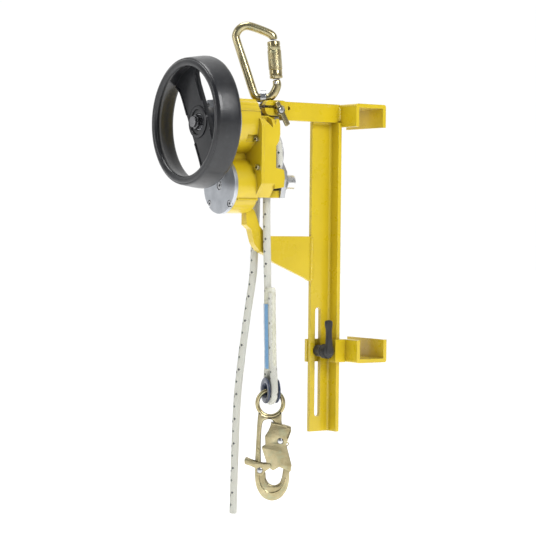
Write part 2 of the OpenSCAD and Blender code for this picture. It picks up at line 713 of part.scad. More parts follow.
// Outline drawn in the hook's own X and Z, extruded n0 to n1 across it
module hplate(n0, n1) {
    hook_frame() translate([0, n1, 0]) rotate([90, 0, 0]) linear_extrude(n1 - n0) children();
}
module snap_hook_body() {
    color(gold) {
        hook_frame() rotate([90, 0, 0]) rotate_extrude($fn = 96) translate([ring_r, 0]) circle(2.7, $fn = 24);
        hplate(-3.6, 3.6) difference() {
            union() {
                polygon([[-16.5, -11], [-9, -16.2], [9, -16.2], [12, -12.5], [12.5, -14], [11, -20],
                    [-10, -20.5], [-10.5, -84], [-18.5, -100], [-17.6, -30]]);
                polygon([[4, -19], [11.5, -19], [18.4, -38], [18, -52], [9.5, -54], [6, -44]]);
                translate([3, -101.5]) circle(21.5);
                polygon([[14, -76], [24.5, -101], [24.5, -86], [25, -77], [21, -75]]);
            }
            translate([5, -93]) circle(10.5);
            translate([13, -47]) circle(2.45);
            translate([-12.5, -84]) circle(2.5);
            polygon([[-5.5, -93], [15.5, -93], [18, -80], [20, -72], [14, -70], [-5.5, -70]]);
        }
    }
}
module hook_gate() {
    color(gold) {
        for (n = [-5.6, 4.0]) hplate(n, n + 1.6) difference() {
            polygon([[4, -24], [21, -27], [26, -36], [22.5, -48], [26.5, -75], [24, -83], [19.5, -84],
                [14, -79], [8, -74], [-6, -80], [-10, -74], [-9, -52], [-4, -44], [-3, -33]]);
            translate([13, -47]) circle(2.5);
        }
        hplate(-4.0, 4.0) polygon([[20, -27.3], [21, -27], [26, -36], [22.5, -48], [24, -60], [22.6, -60],
            [20.6, -48], [24.3, -36]]);
    }
}
module gate_pin() {
    color(steel) hook_frame() translate([13, 7.4, -47]) rotate([90, 0, 0]) cylinder(h = 14.8, r = 2.45);
}
module lock_lever() {
    color(gold) {
        for (n = [-7.5, 6.1]) hplate(n, n + 1.4) difference() {
            polygon([[-17, -90], [-8, -91], [-5, -84], [2, -80], [1, -75], [-9, -76], [-24, -71], [-31, -68], [-32, -76], [-24, -78]]);
            translate([-12.5, -84]) circle(2.55);
        }
        hplate(-6.1, 6.1) polygon([[-26, -71], [-31, -68], [-32, -76], [-26, -77]]);
    }
}
module lock_pin() {
    color(steel) hook_frame() translate([-12.5, 8.3, -84]) rotate([90, 0, 0]) cylinder(h = 16.6, r = 2.5);
}

// ---- rope ----
// Route set by hand: free tail, up through the guide, over the sheave, down to the thimble and back
rope_route = [
    [-166, 22, -515], [-165.6, 22, -500], [-164, 22, -437], [-161.4, 22, -374], [-155.6, 22, -322],
    [-147, 22, -264], [-139, 22, -215], [-137, 22, -176], [-135.2, 22, -140], [-135, 21.9, -122],
    [-135, 23, -112], [-135, 32, -100], [-135, 42.4, -88], [-135, 46.9, -76], [-135, 48, -63.75],
    [-135, 43, -45], [-135, 29.2, -31.3], [-135, 10.5, -26.25], [-135, -8.2, -31.3], [-135, -22, -45],
    [-135, -27, -63.75], [-135, -25.9, -76], [-135, -21.4, -88], [-135, -11, -100], [-135, -2, -112],
    [-135, -0.9, -122], [-134.6, -0.9, -150], [-133.4, -1, -190], [-131.4, 0, -228], [-130, 1.2, -262],
    [-128.8, 1.4, -300], [-128.2, 2.6, -330]];
thimble_turn = -14;
loop_r = 13.5;
// Loop round the thimble, then the dead leg back up beside the standing part
function loop_pt(a) = thimble + loop_r * [sin(thimble_turn) * -cos(a), cos(thimble_turn) * cos(a), -sin(a)];
rope_loop = [for (a = [0:30:180]) loop_pt(a)];
rope_end = [[-128.4, -10.8, -338], [-128.8, -8.9, -318], [-129.4, -8.7, -290], [-130.4, -8.9, -262], [-131.2, -9.2, -236]];
module rope() {
    color([0.92, 0.92, 0.9]) tube(curve(concat(rope_route, rope_loop, rope_end), 2), rope_r, 12, rope_r);
}
// Clear cover over the stitched eye splice
module splice_sleeve() {
    color([0.93, 0.91, 0.75]) tube(curve([[-131, -4.3, -231], [-130.2, -3.8, -262], [-129, -3.7, -300],
        [-128.4, -3.9, -332]], 4), 10.6, 16, 5.9);
}
module thimble_body() {
    color([0.1, 0.13, 0.3]) translate(thimble) rotate([0, 0, thimble_turn]) rotate([0, 90, 0])
        rotate_extrude($fn = 64) difference() {
            polygon([[10, -8], [16.6, -8], [16.6, 8], [10, 8], [7.7, 4.2], [7.7, -4.2]]);
            translate([loop_r, 0]) circle(rope_r + 0.5);
            polygon([[loop_r, -rope_r - 0.5], [20, -6.6], [20, 6.6], [loop_r, rope_r + 0.5]]);
        }
}

upper_hook();
arm();
arm_fork();
post();
gusset();
rest_finger();
bracket_welds();
slide_plate();
lower_hook();
clamp_stud();
clamp_lever();
lever_screw();
handwheel();
hub_bush();
wheel_nut();
main_shaft();
wheel_pinion();
front_plate();
gear_case();
sheave_case();
main_bushings();
sheave_bushings();
idler_bushings();
brake_bushings();
shaft_seal();
plate_screws();
case_screws();
sheave_shaft();
drive_gear();
sheave();
idler_pinion();
idler_gear();
brake_pinion();
brake_drum();
shoe_carrier();
shoe_a();
shoe_b();
shoe_c();
rear_frame();
frame_screws();
shaft_clip();
rope_guide();
pull_knob();
plunger_pin();
hanger();
swivel_eye();
release_pin();
release_lever();
carabiner_body();
carabiner_gate();
gate_sleeve();
snap_hook_body();
hook_gate();
gate_pin();
lock_lever();
lock_pin();
rope();
splice_sleeve();
thimble_body();
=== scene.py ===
# Looks of the rope rescue device on its ladder bracket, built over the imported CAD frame.
# Everything is in metres in the row frame: +Z up, -X towards the handwheel, -Y the lever side.
import json
import math
import bmesh
import bpy
import numpy as np
from mathutils import Matrix, Vector


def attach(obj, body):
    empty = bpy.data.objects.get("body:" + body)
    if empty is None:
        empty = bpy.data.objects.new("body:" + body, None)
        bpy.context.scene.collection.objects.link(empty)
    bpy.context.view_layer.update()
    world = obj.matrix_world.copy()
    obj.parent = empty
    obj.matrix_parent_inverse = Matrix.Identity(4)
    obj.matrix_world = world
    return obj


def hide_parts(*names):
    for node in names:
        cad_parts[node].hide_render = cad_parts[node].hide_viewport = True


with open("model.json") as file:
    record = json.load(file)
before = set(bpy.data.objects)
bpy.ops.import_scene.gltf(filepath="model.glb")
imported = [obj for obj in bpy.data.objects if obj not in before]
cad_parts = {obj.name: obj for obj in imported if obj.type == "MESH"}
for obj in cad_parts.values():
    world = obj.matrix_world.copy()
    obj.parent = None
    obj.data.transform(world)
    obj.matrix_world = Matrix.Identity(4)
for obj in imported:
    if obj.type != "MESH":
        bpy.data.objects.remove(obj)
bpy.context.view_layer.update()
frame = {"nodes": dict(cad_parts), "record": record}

MM = 0.001
scene = bpy.context.scene
nodes = frame["nodes"]


def v3(x, y, z):
    return Vector((x * MM, y * MM, z * MM))


# ---------------------------------------------------------------- camera
yaw, pitch, roll = math.radians(34.686), math.radians(1.225), math.radians(0.584)
look = Vector((math.sin(yaw) * math.cos(pitch), math.cos(yaw) * math.cos(pitch), -math.sin(pitch)))
side = Vector((math.cos(yaw), -math.sin(yaw), 0))
rise = side.cross(look)
cam_x = side * math.cos(roll) + rise * math.sin(roll)
cam_y = rise * math.cos(roll) - side * math.sin(roll)
cam = bpy.data.objects.new("camera", bpy.data.cameras.new("camera"))
scene.collection.objects.link(cam)
cam.matrix_world = Matrix((
    (cam_x.x, cam_y.x, -look.x, -1.4804),
    (cam_x.y, cam_y.y, -look.y, -1.9494),
    (cam_x.z, cam_y.z, -look.z, -0.1545),
    (0, 0, 0, 1)))
cam.data.sensor_width = 36
cam.data.lens = 126.4
cam.data.clip_end = 50
scene.camera = cam
scene.view_settings.view_transform = "Standard"


# ---------------------------------------------------------------- materials
class Tree:
    """Short names for the shader nodes used below."""

    def __init__(self, name, radius=0.0):
        self.mat = bpy.data.materials.new(name)
        self.mat.use_nodes = True
        self.nt = self.mat.node_tree
        self.nt.nodes.clear()
        self.out = self.nt.nodes.new("ShaderNodeOutputMaterial")
        self.bsdf = self.nt.nodes.new("ShaderNodeBsdfPrincipled")
        self.nt.links.new(self.bsdf.outputs[0], self.out.inputs[0])
        self.coord = self.nt.nodes.new("ShaderNodeTexCoord").outputs["Object"]
        self.soft = None
        self.edge = None
        if radius:
            bev = self.nt.nodes.new("ShaderNodeBevel")
            bev.samples = 6
            bev.inputs["Radius"].default_value = radius
            self.soft = bev.outputs[0]
            geo = self.nt.nodes.new("ShaderNodeNewGeometry")
            dot = self.nt.nodes.new("ShaderNodeVectorMath")
            dot.operation = "DOT_PRODUCT"
            self.nt.links.new(self.soft, dot.inputs[0])
            self.nt.links.new(geo.outputs["Normal"], dot.inputs[1])
            self.edge = self.ramp(dot.outputs["Value"], [(0.80, 1.0), (0.97, 0.0)])

    def set(self, **k):
        names = {"rough": "Roughness", "metal": "Metallic", "coat": "Coat Weight",
                 "coat_rough": "Coat Roughness",
                 "spec": "Specular IOR Level", "sheen": "Sheen Weight", "sheen_rough": "Sheen Roughness",
                 "ior": "IOR",
                 "alpha": "Alpha", "subsurf": "Subsurface Weight", "trans": "Transmission Weight",
                 "aniso": "Anisotropic"}
        for key, value in k.items():
            self.bsdf.inputs[names[key]].default_value = value
        return self

    def link(self, socket, name):
        self.nt.links.new(socket, self.bsdf.inputs[name])
        return self

    def math(self, op, a, b=None, c=None, clamp=False):
        n = self.nt.nodes.new("ShaderNodeMath")
        n.operation = op
        n.use_clamp = clamp
        for i, value in enumerate((a, b, c)):
            if value is None:
                continue
            if isinstance(value, (int, float)):
                n.inputs[i].default_value = value
            else:
                self.nt.links.new(value, n.inputs[i])
        return n.outputs[0]

    def scaled(self, sx, sy, sz):
        n = self.nt.nodes.new("ShaderNodeMapping")
        n.inputs["Scale"].default_value = (sx, sy, sz)
        self.nt.links.new(self.coord, n.inputs[0])
        return n.outputs[0]

    def noise(self, scale, detail=4, rough=0.55, vec=None, distortion=0.0):
        n = self.nt.nodes.new("ShaderNodeTexNoise")
        n.inputs["Scale"].default_value = scale
        n.inputs["Detail"].default_value = detail
        n.inputs["Roughness"].default_value = rough
        n.inputs["Distortion"].default_value = distortion
        self.nt.links.new(vec or self.coord, n.inputs["Vector"])
        return n.outputs["Fac"]

    def cells(self, scale, vec=None, feature="F1"):
        n = self.nt.nodes.new("ShaderNodeTexVoronoi")
        n.feature = feature
        n.inputs["Scale"].default_value = scale
        self.nt.links.new(vec or self.coord, n.inputs["Vector"])
        return n.outputs["Distance"]

    def ramp(self, fac, stops):
        n = self.nt.nodes.new("ShaderNodeValToRGB")
        r = n.color_ramp
        while len(r.elements) < len(stops):
            r.elements.new(0.5)
        for e, (pos, col) in zip(r.elements, stops):
            e.position = pos
            e.color = (col, col, col, 1) if isinstance(col, (int, float)) else (*col, 1)
        self.nt.links.new(fac, n.inputs[0])
        return n.outputs[0]

    def mix(self, fac, a, b, mode="MIX"):
        n = self.nt.nodes.new("ShaderNodeMix")
        n.data_type = "RGBA"
        n.blend_type = mode
        for i, value in ((0, fac), (6, a), (7, b)):
            if isinstance(value, (int, float)):
                n.inputs[i].default_value = value
            elif isinstance(value, tuple):
                n.inputs[i].default_value = (*value, 1)
            else:
                self.nt.links.new(value, n.inputs[i])
        return n.outputs[2]

    def bump(self, height, strength, distance, under=None):
        n = self.nt.nodes.new("ShaderNodeBump")
        n.inputs["Strength"].default_value = strength
        n.inputs["Distance"].default_value = distance
        self.nt.links.new(height, n.inputs["Height"])
        if under is None:
            under = self.soft
        if under is not None:
            self.nt.links.new(under, n.inputs["Normal"])
        return n.outputs[0]

    def creases(self, distance):
        # Ambient-occlusion mask, 1 in tight corners and hollows: the materials use it to paint shade into
        # creases.
        n = self.nt.nodes.new("ShaderNodeAmbientOcclusion")
        n.samples = 6
        n.inputs["Distance"].default_value = distance
        return self.ramp(n.outputs["AO"], [(0.25, 1.0), (0.85, 0.0)])

    def attr(self, name):
        n = self.nt.nodes.new("ShaderNodeAttribute")
        n.attribute_name = name
        return n.outputs["Fac"]


def yellow_paint(name, cast=False):
    """Gloss powder coat: orange peel, slight film variation, rubbed edges, a few small chips, and painted
    shade darkening the creases.
    """
    t = Tree(name, 0.0009 if not cast else 0.0014)
    film = t.noise(26, 3)
    base = t.ramp(film, [(0.3, (0.60, 0.44, 0.008)), (0.7, (0.66, 0.49, 0.012))])
    dust = t.noise(9, 5)
    base = t.mix(t.ramp(dust, [(0.45, 0.0), (0.8, 0.22)]), base, (0.58, 0.43, 0.012))
    grit = t.noise(420, 4)
    rub = t.math("MULTIPLY", t.edge, t.ramp(t.noise(90, 4), [(0.45, 0.0), (0.62, 1.0)]))
    base = t.mix(t.math("MULTIPLY", rub, 0.38), base, (0.93, 0.80, 0.33))
    chip = t.math("MULTIPLY", t.edge, t.ramp(grit, [(0.62, 0.0), (0.66, 1.0)]))
    base = t.mix(t.math("MULTIPLY", chip, 0.55), base, (0.30, 0.26, 0.18))
    # Painted shade: creases and corners darkened towards dark ochre by the ambient-occlusion mask.
    base = t.mix(t.math("MULTIPLY", t.creases(0.022), 0.75), base, (0.30, 0.20, 0.004))
    t.link(base, "Base Color")
    t.link(t.ramp(t.noise(60, 4), [(0.3, 0.24 if not cast else 0.28), (0.75, 0.38 if not cast else 0.42)]),
        "Roughness")
    peel = t.noise(520 if not cast else 330, 2, 0.5)
    t.link(t.bump(peel, 0.30 if not cast else 0.42, 0.00012), "Normal")
    return t.set(coat=0.55, coat_rough=0.10).mat


def metal(name, lo, hi, rough=(0.22, 0.40), grain=(1, 1, 1), scale=300, radius=0.0005, bump=0.12,
    stain=None):
    """Bare or plated metal: fine grain along one way, cloudy tone, brighter edges painted on as a
    highlight, creases darkened as painted shade.
    """
    t = Tree(name, radius)
    cloud = t.noise(70, 5)
    base = t.ramp(cloud, [(0.30, lo), (0.72, hi)])
    if stain:
        base = t.mix(t.ramp(t.noise(120, 4, distortion=0.6), [(0.50, 0.0), (0.74, 0.75)]), base, stain)
    # Painted highlight: every edge lightened towards a brighter tone of the metal.
    edge_highlight = tuple(min(1.0, c * 1.25 + 0.04) for c in hi)
    if t.edge is not None:
        base = t.mix(t.math("MULTIPLY", t.edge, 0.6), base, edge_highlight)
    # Painted shade: creases and corners darkened by the ambient-occlusion mask.
    base = t.mix(t.math("MULTIPLY", t.creases(0.006), 0.85), base, tuple(c * 0.22 for c in lo))
    t.link(base, "Base Color")
    lines = t.noise(scale, 5, 0.6, t.scaled(*grain))
    t.link(t.ramp(lines, [(0.3, rough[0]), (0.75, rough[1])]), "Roughness")
    t.link(t.bump(lines, bump, 0.00008), "Normal")
    return t.set(metal=1.0).mat


def plastic(name, lo, hi, rough=(0.34, 0.5), grain=900, bump=0.25, coat=0.0, radius=0.0006):
    t = Tree(name, radius)
    base = t.ramp(t.noise(40, 4), [(0.3, lo), (0.75, hi)])
    scuff = t.ramp(t.noise(160, 4), [(0.5, 0.0), (0.8, 0.25)])
    if t.edge is not None:
        scuff = t.math("MULTIPLY", t.edge, t.ramp(t.noise(160, 4), [(0.4, 0.0), (0.7, 0.6)]))
    base = t.mix(scuff, base, tuple(c * 1.5 + 0.025 for c in hi))
    t.link(base, "Base Color")
    t.link(t.ramp(t.noise(110, 4), [(0.3, rough[0]), (0.7, rough[1])]), "Roughness")
    t.link(t.bump(t.noise(grain, 2), bump, 0.00010), "Normal")
    return t.set(coat=coat, coat_rough=0.12).mat


def rope_weave(name):
    """Braided sheath: two families of yarns over and under, with paired dark tracer picks; the gaps between
    yarns carry painted shade and the crowns a painted highlight.
    """
    t = Tree(name)
    around, along = t.attr("around"), t.attr("along")
    fine = 14.0
    pitch = 0.031

    def family(count, sign):
        turns = t.math("MULTIPLY", around, count)
        run = t.math("MULTIPLY", along, sign * count / pitch)
        return t.math("ADD", t.math("ADD", turns, run), 4000.0 * count)

    a, b = family(fine, 1), family(fine, -1)
    over = t.math("MODULO", t.math("ADD", t.math("FLOOR", a), t.math("FLOOR", b)), 2.0)

    def crown(x):
        c = t.math("SUBTRACT", t.math("FRACT", x), 0.5)
        return t.math("SUBTRACT", 1.0, t.math("MULTIPLY", t.math("MULTIPLY", c, c), 4.0))

    ca, cb = crown(a), crown(b)
    up_a = t.math("MULTIPLY", t.math("MULTIPLY", ca, t.math("SUBTRACT", 1.0, over)),
        t.math("POWER", cb, 0.6))
    up_b = t.math("MULTIPLY", t.math("MULTIPLY", cb, over), t.math("POWER", ca, 0.6))
    height = t.math("ADD", up_a, up_b)
    # Painted shade in the gaps between yarns and painted highlight on their crowns: the colour follows the
    # weave height.
    shade = t.ramp(height, [(0.0, (0.16, 0.16, 0.13)), (0.40, (0.60, 0.60, 0.53)),
            (1.0, (0.82, 0.82, 0.75))])
    soil = t.ramp(t.noise(32, 5), [(0.4, 0.0), (0.8, 0.35)])
    shade = t.mix(soil, shade, (0.55, 0.54, 0.44))
    coarse = 9.0
    ia = t.math("MODULO", t.math("FLOOR", family(coarse, 1)), coarse)
    ib = t.math("MODULO", t.math("FLOOR", family(coarse, -1)), coarse)

    def pick(i, j):
        return t.math("MULTIPLY", t.math("COMPARE", ia, float(i), 0.4),
            t.math("COMPARE", ib, float(j), 0.4))

    green = t.math("ADD", pick(0, 2), pick(0, 4), clamp=True)
    black = t.math("ADD", pick(4, 6), pick(6, 6), clamp=True)
    shade = t.mix(t.math("MULTIPLY", green, 0.97), shade, (0.006, 0.028, 0.024))
    shade = t.mix(t.math("MULTIPLY", black, 0.95), shade, (0.010, 0.012, 0.022))
    t.link(shade, "Base Color")
    fuzz = t.noise(2600, 3)
    total = t.math("ADD", height, t.math("MULTIPLY", fuzz, 0.25))
    t.link(t.bump(total, 0.85, 0.00035), "Normal")
    return t.set(rough=0.82, sheen=0.3, sheen_rough=0.5).mat


def clear_film(name):
    t = Tree(name)
    base = t.ramp(t.noise(55, 4), [(0.3, (0.80, 0.79, 0.55)), (0.7, (0.93, 0.92, 0.76))])
    t.link(base, "Base Color")
    creases = t.noise(150, 4, 0.6, t.scaled(1, 1, 0.25), 0.5)
    t.link(t.bump(creases, 0.5, 0.0006), "Normal")
    t.link(t.ramp(creases, [(0.3, 0.34), (0.75, 0.50)]), "Alpha")
    return t.set(rough=0.22, coat=0.8, coat_rough=0.08).mat


def stitched(name, colour, lighter, scale=1500):
    t = Tree(name)
    weave = t.cells(scale)
    t.link(t.ramp(weave, [(0.1, colour), (0.7, lighter)]), "Base Color")
    t.link(t.bump(weave, 0.5, 0.0002), "Normal")
    return t.set(rough=0.7, sheen=0.4).mat


M = {
    "bracket_paint": yellow_paint("yellow_powder_coat"),
    "case_paint": yellow_paint("yellow_paint_on_casting", True),
    "wheel_plastic": plastic("black_moulded_nylon", (0.006, 0.0065, 0.008), (0.012, 0.013, 0.016),
    (0.30, 0.42), 900, 0.30, 0.22, 0.0),
    "black_lever": plastic("black_grip", (0.012, 0.012, 0.012), (0.028, 0.027, 0.025), (0.35, 0.5), 1200,
    0.35),
    "guide_plastic": plastic("black_guide", (0.02, 0.02, 0.022), (0.035, 0.035, 0.04)),
    "seal_rubber": plastic("seal_rubber", (0.012, 0.012, 0.012), (0.02, 0.02, 0.02), (0.6, 0.8), 1500, 0.3),
    "navy_plastic": plastic("navy_moulded_plastic", (0.012, 0.022, 0.055), (0.020, 0.036, 0.085),
    (0.22, 0.34), 500, 0.2, 0.5),
    "face_plate": metal("satin_plate", (0.42, 0.44, 0.47), (0.56, 0.58, 0.61), (0.30, 0.46), (1, 1, 1), 900,
    0.0006, 0.10),
    "plain_steel": metal("zinc_plated_steel", (0.46, 0.47, 0.48), (0.66, 0.67, 0.69), (0.18, 0.34),
    (1, 1, 3), 500),
    "dark_steel": metal("dark_socket_steel", (0.16, 0.16, 0.17), (0.34, 0.34, 0.35), (0.22, 0.40),
    (1, 1, 2), 500),
    "bronze": metal("sintered_bronze", (0.42, 0.26, 0.10), (0.58, 0.38, 0.17), (0.30, 0.45)),
    "alloy_sheave": metal("turned_alloy", (0.55, 0.56, 0.58), (0.70, 0.71, 0.73), (0.22, 0.36), (6, 1, 1),
    500),
    "alloy_rear": metal("cast_alloy", (0.40, 0.41, 0.42), (0.55, 0.56, 0.57), (0.34, 0.52), (1, 1, 1), 700,
    0.0009, 0.3),
    "alloy_knob": metal("turned_alloy_knob", (0.66, 0.66, 0.65), (0.84, 0.84, 0.83), (0.24, 0.36),
    (1, 1, 1), 600, 0.0009, 0.08),
    "cast_drum": metal("cast_iron", (0.12, 0.12, 0.12), (0.24, 0.24, 0.24), (0.45, 0.6)),
    "lined_shoe": metal("lined_shoe", (0.20, 0.18, 0.15), (0.34, 0.31, 0.27), (0.5, 0.65)),
    "gold_zinc": metal("yellow_zinc_chromate", (0.36, 0.30, 0.15), (0.60, 0.52, 0.31), (0.20, 0.32),
    (1, 1, 1), 1800, 0.0, 0.05,
                       (0.40, 0.43, 0.28)),
    # Same plating as gold_zinc, with a bevel radius that turns on the painted edge highlight.
    "gold_plate": metal("yellow_zinc_plate", (0.34, 0.285, 0.15), (0.56, 0.49, 0.30), (0.24, 0.36),
    (1, 1, 1), 1800, 0.0009, 0.06,
                        (0.38, 0.40, 0.26)),
    "rope_textile": rope_weave("braided_rope"),
    "clear_cover": clear_film("clear_shrink_film"),
    "blue_band": stitched("blue_stitch_band", (0.05, 0.17, 0.36), (0.16, 0.36, 0.58)),
    "white_thread": stitched("white_thread", (0.62, 0.62, 0.60), (0.85, 0.85, 0.83), 2600),
}
M["slider_paint"] = M["bracket_paint"]
M["alloy_carrier"] = M["alloy_sheave"]

slot_of = {s["node"]: s["material_slot"] for s in frame["record"]["subparts"]}
SPECIAL = {"pull_knob": "alloy_knob", "plate_screws": "plain_steel", "clamp_stud": "plain_steel",
           "swivel_eye": "plain_steel",
           "hanger": "dark_steel", "wheel_nut": "dark_steel"}
for name, ob in nodes.items():
    mat = M[SPECIAL.get(name, slot_of[name])]
    ob.data.materials.clear()
    ob.data.materials.append(mat)


# ---------------------------------------------------------------- mesh helpers
def catmull(points, steps):
    p = [np.array(q, float) for q in points]
    out = []
    for i in range(len(p) - 1):
        a, b, c, d = p[max(i - 1, 0)], p[i], p[i + 1], p[min(i + 2, len(p) - 1)]
        for k in range(steps):
            t = k / steps
            out.append(0.5 * (2 * b + (c - a) * t + (2 * a - 5 * b + 4 * c - d) * t * t
                              + (3 * b - a - 3 * c + d) * t ** 3))
    out.append(p[-1])
    return np.array(out)


def resample(path, step):
    seg = np.linalg.norm(np.diff(path, axis=0), axis=1)
    s = np.concatenate([[0], np.cumsum(seg)])
    n = max(2, int(round(s[-1] / step)) + 1)
    t = np.linspace(0, s[-1], n)
    return np.stack([np.interp(t, s, path[:, k]) for k in range(3)], axis=1), t


def frames(path, ref=None):
    """Unit tangents and two normals at each point of a path, carried along without twist."""
    tan = np.gradient(path, axis=0)
    tan /= np.linalg.norm(tan, axis=1)[:, None]
    n = np.array(ref if ref is not None else (0.31, 0.95, 0.05), float)
    us, ws = [], []
    for t in tan:
        if ref is not None:
            n = np.array(ref, float)
        n = n - t * np.dot(n, t)
        n /= np.linalg.norm(n)
        us.append(n.copy())
        ws.append(np.cross(t, n))
    return tan, np.array(us), np.array(ws)


def link(ob, mat, smooth=True):
    scene.collection.objects.link(ob)
    ob.data.materials.append(mat)
    if smooth:
        ob.data.shade_smooth()
    return ob


def mesh_object(name, verts, faces, mat, smooth=True, attributes=None):
    me = bpy.data.meshes.new(name)
    me.from_pydata([tuple(map(float, v)) for v in verts], [], faces)
    for key, values in (attributes or {}).items():
        at = me.attributes.new(key, "FLOAT", "POINT")
        at.data.foreach_set("value", np.asarray(values, dtype=np.float32))
    me.validate()
    bm = bmesh.new()
    bm.from_mesh(me)
    bmesh.ops.recalc_face_normals(bm, faces=bm.faces)
    bm.to_mesh(me)
    bm.free()
    return link(bpy.data.objects.new(name, me), mat, smooth)


def sweep(name, path, section, mat, ref=None, along=None, caps=True):
    """Tube along a path. section holds its sides and size(t, angles), the two half-widths in metres."""
    tan, us, ws = frames(path, ref)
    rows, a_at, l_at = [], [], []
    count = len(path)
    sides = section["sides"]
    ang = np.linspace(0, 2 * math.pi, sides + 1)
    for i in range(count):
        ru, rw = section["size"](i / (count - 1), ang)
        ring = path[i] + np.outer(ru * np.cos(ang), us[i]) + np.outer(rw * np.sin(ang), ws[i])
        rows.append(ring)
        a_at.append(ang / (2 * math.pi))
        l_at.append(np.full(sides + 1, along[i] if along is not None else i))
    verts = np.concatenate(rows)
    k = sides + 1
    faces = [(i * k + j, i * k + j + 1, (i + 1) * k + j + 1, (i + 1) * k + j)
             for i in range(count - 1) for j in range(sides)]
    a_at, l_at = np.concatenate(a_at), np.concatenate(l_at)
    if caps:
        for i, push in ((0, -1), (count - 1, 1)):
            base = len(verts)
            ring = rows[i][:-1]
            mid = path[i]
            inner = mid + (ring - mid) * 0.72 + tan[i] * push * np.linalg.norm(ring[0] - mid) * 0.14
            tip = (mid + tan[i] * push * np.linalg.norm(ring[0] - mid) * 0.20)[None, :]
            verts = np.concatenate([verts, inner, tip])
            a_at = np.concatenate([a_at, ang[:-1] / (2 * math.pi), [0]])
            l_at = np.concatenate([l_at, np.full(sides + 1, l_at[i * k])])
            for j in range(sides):
                j2 = (j + 1) % sides
                quad = (i * k + j, i * k + j + 1, base + j2, base + j)
                tri = (base + j, base + j2, base + sides)
                if push < 0:
                    quad, tri = quad[::-1], tri[::-1]
                faces += [quad, tri]
    me = bpy.data.meshes.new(name)
    me.from_pydata([tuple(map(float, v)) for v in verts], [], faces)
    for key, values in (("around", a_at), ("along", l_at)):
        at = me.attributes.new(key, "FLOAT", "POINT")
        at.data.foreach_set("value", np.asarray(values, dtype=np.float32))
    ob = link(bpy.data.objects.new(name, me), mat)
    return ob


def round_section(r, sides=32, wobble=None):
    def size(t, ang):
        k = 1.0 if wobble is None else wobble(t, ang)
        return r * k * np.ones_like(ang), r * k * np.ones_like(ang)
    return {"sides": sides, "size": size}


def lathe(name, profile, origin, axis, mat, steps=96, ripple=None, closed=True):
    """profile is [(radius, height)] in mm, turned about axis through origin (mm)."""
    axis = Vector(axis).normalized()
    u = axis.orthogonal().normalized()
    w = axis.cross(u)
    verts, faces = [], []
    n = len(profile)
    for j in range(steps):
        a = 2 * math.pi * j / steps
        for i, (r, h) in enumerate(profile):
            rr = r if ripple is None else r + ripple(i, h, a)
            p = Vector(origin) + axis * h + (u * math.cos(a) + w * math.sin(a)) * rr
            verts.append(p * MM)
    last = n if closed else n - 1
    for j in range(steps):
        k = (j + 1) % steps
        for i in range(last):
            i2 = (i + 1) % n
            faces.append((j * n + i, k * n + i, k * n + i2, j * n + i2))
    ob = mesh_object(name, verts, faces, mat)
    return ob


def smooth_by_angle(ob, degrees=35):
    me = ob.data
    bm = bmesh.new()
    bm.from_mesh(me)
    lim = math.radians(degrees)
    for e in bm.edges:
        if len(e.link_faces) == 2:
            e.smooth = e.calc_face_angle(0) < lim
    for f in bm.faces:
        f.smooth = True
    bm.to_mesh(me)
    bm.free()
    return ob


def plate(name, loops, thick, bevel, matrix, mat, res=3):
    """Flat part from outlines in mm, with rounded edges, placed by matrix. Outline in local X, Y."""
    cu = bpy.data.curves.new(name, "CURVE")
    cu.dimensions = "2D"
    cu.fill_mode = "BOTH"
    for loop in loops:
        sp = cu.splines.new("POLY")
        sp.points.add(len(loop) - 1)
        for q, (x, y) in zip(sp.points, loop):
            q.co = (x * MM, y * MM, 0, 1)
        sp.use_cyclic_u = True
    cu.extrude = max(0.0, (thick / 2 - bevel)) * MM
    cu.bevel_depth = bevel * MM
    cu.bevel_resolution = res
    cu.offset = -bevel * MM
    tmp = bpy.data.objects.new(name + "_tmp", cu)
    scene.collection.objects.link(tmp)
    dg = bpy.context.evaluated_depsgraph_get()
    me = bpy.data.meshes.new_from_object(tmp.evaluated_get(dg))
    bpy.data.objects.remove(tmp)
    me.transform(matrix)
    me.name = name
    me.materials.clear()
    bm = bmesh.new()
    bm.from_mesh(me)
    bmesh.ops.remove_doubles(bm, verts=bm.verts, dist=1e-6)
    bmesh.ops.recalc_face_normals(bm, faces=bm.faces)
    bm.to_mesh(me)
    bm.free()
    ob = link(bpy.data.objects.new(name, me), mat)
    return smooth_by_angle(ob, 30)


def rounded(points, radius, steps=5):
    """Closed outline with its corners rounded; radius is one number or one per corner."""
    out = []
    n = len(points)
    for i, p in enumerate(points):
        r = radius[i] if isinstance(radius, (list, tuple)) else radius
        a, b, c = Vector(points[i - 1]), Vector(p), Vector(points[(i + 1) % n])
        la, lc = (a - b).length, (c - b).length
        ua, uc = (a - b) / la, (c - b) / lc
        half = ua.angle(uc) / 2
        cut = min(r / max(math.tan(half), 1e-3), la * 0.46, lc * 0.46)
        p0, p1 = b + ua * cut, b + uc * cut
        for k in range(steps + 1):
            t = k / steps
            q = p0 * (1 - t) ** 2 + b * 2 * t * (1 - t) + p1 * t * t
            out.append((q.x, q.y))
    return out


def circle(cx, cy, r, n=48):
    return [(cx + r * math.cos(2 * math.pi * k / n),
            cy + r * math.sin(2 * math.pi * k / n)) for k in range(n)]


def join(name, parts):
    """One object from several, keeping each one's material."""
    me = bpy.data.meshes.new(name)
    bm = bmesh.new()
    mats = []
    for ob in parts:
        m = ob.data.materials[0]
        if m not in mats:
            mats.append(m)
        idx = mats.index(m)
        start = len(bm.faces)
        bm.from_mesh(ob.data)
        bm.faces.ensure_lookup_table()
        for f in bm.faces[start:]:
            f.material_index = idx
    bm.to_mesh(me)
    bm.free()
    for m in mats:
        me.materials.append(m)
    for ob in parts:
        bpy.data.objects.remove(ob)
    ob = bpy.data.objects.new(name, me)
    scene.collection.objects.link(ob)
    return ob


def place(ob, body, slot_name, *replaced):
    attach(ob, body)
    if replaced:
        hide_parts(*replaced)
    return ob


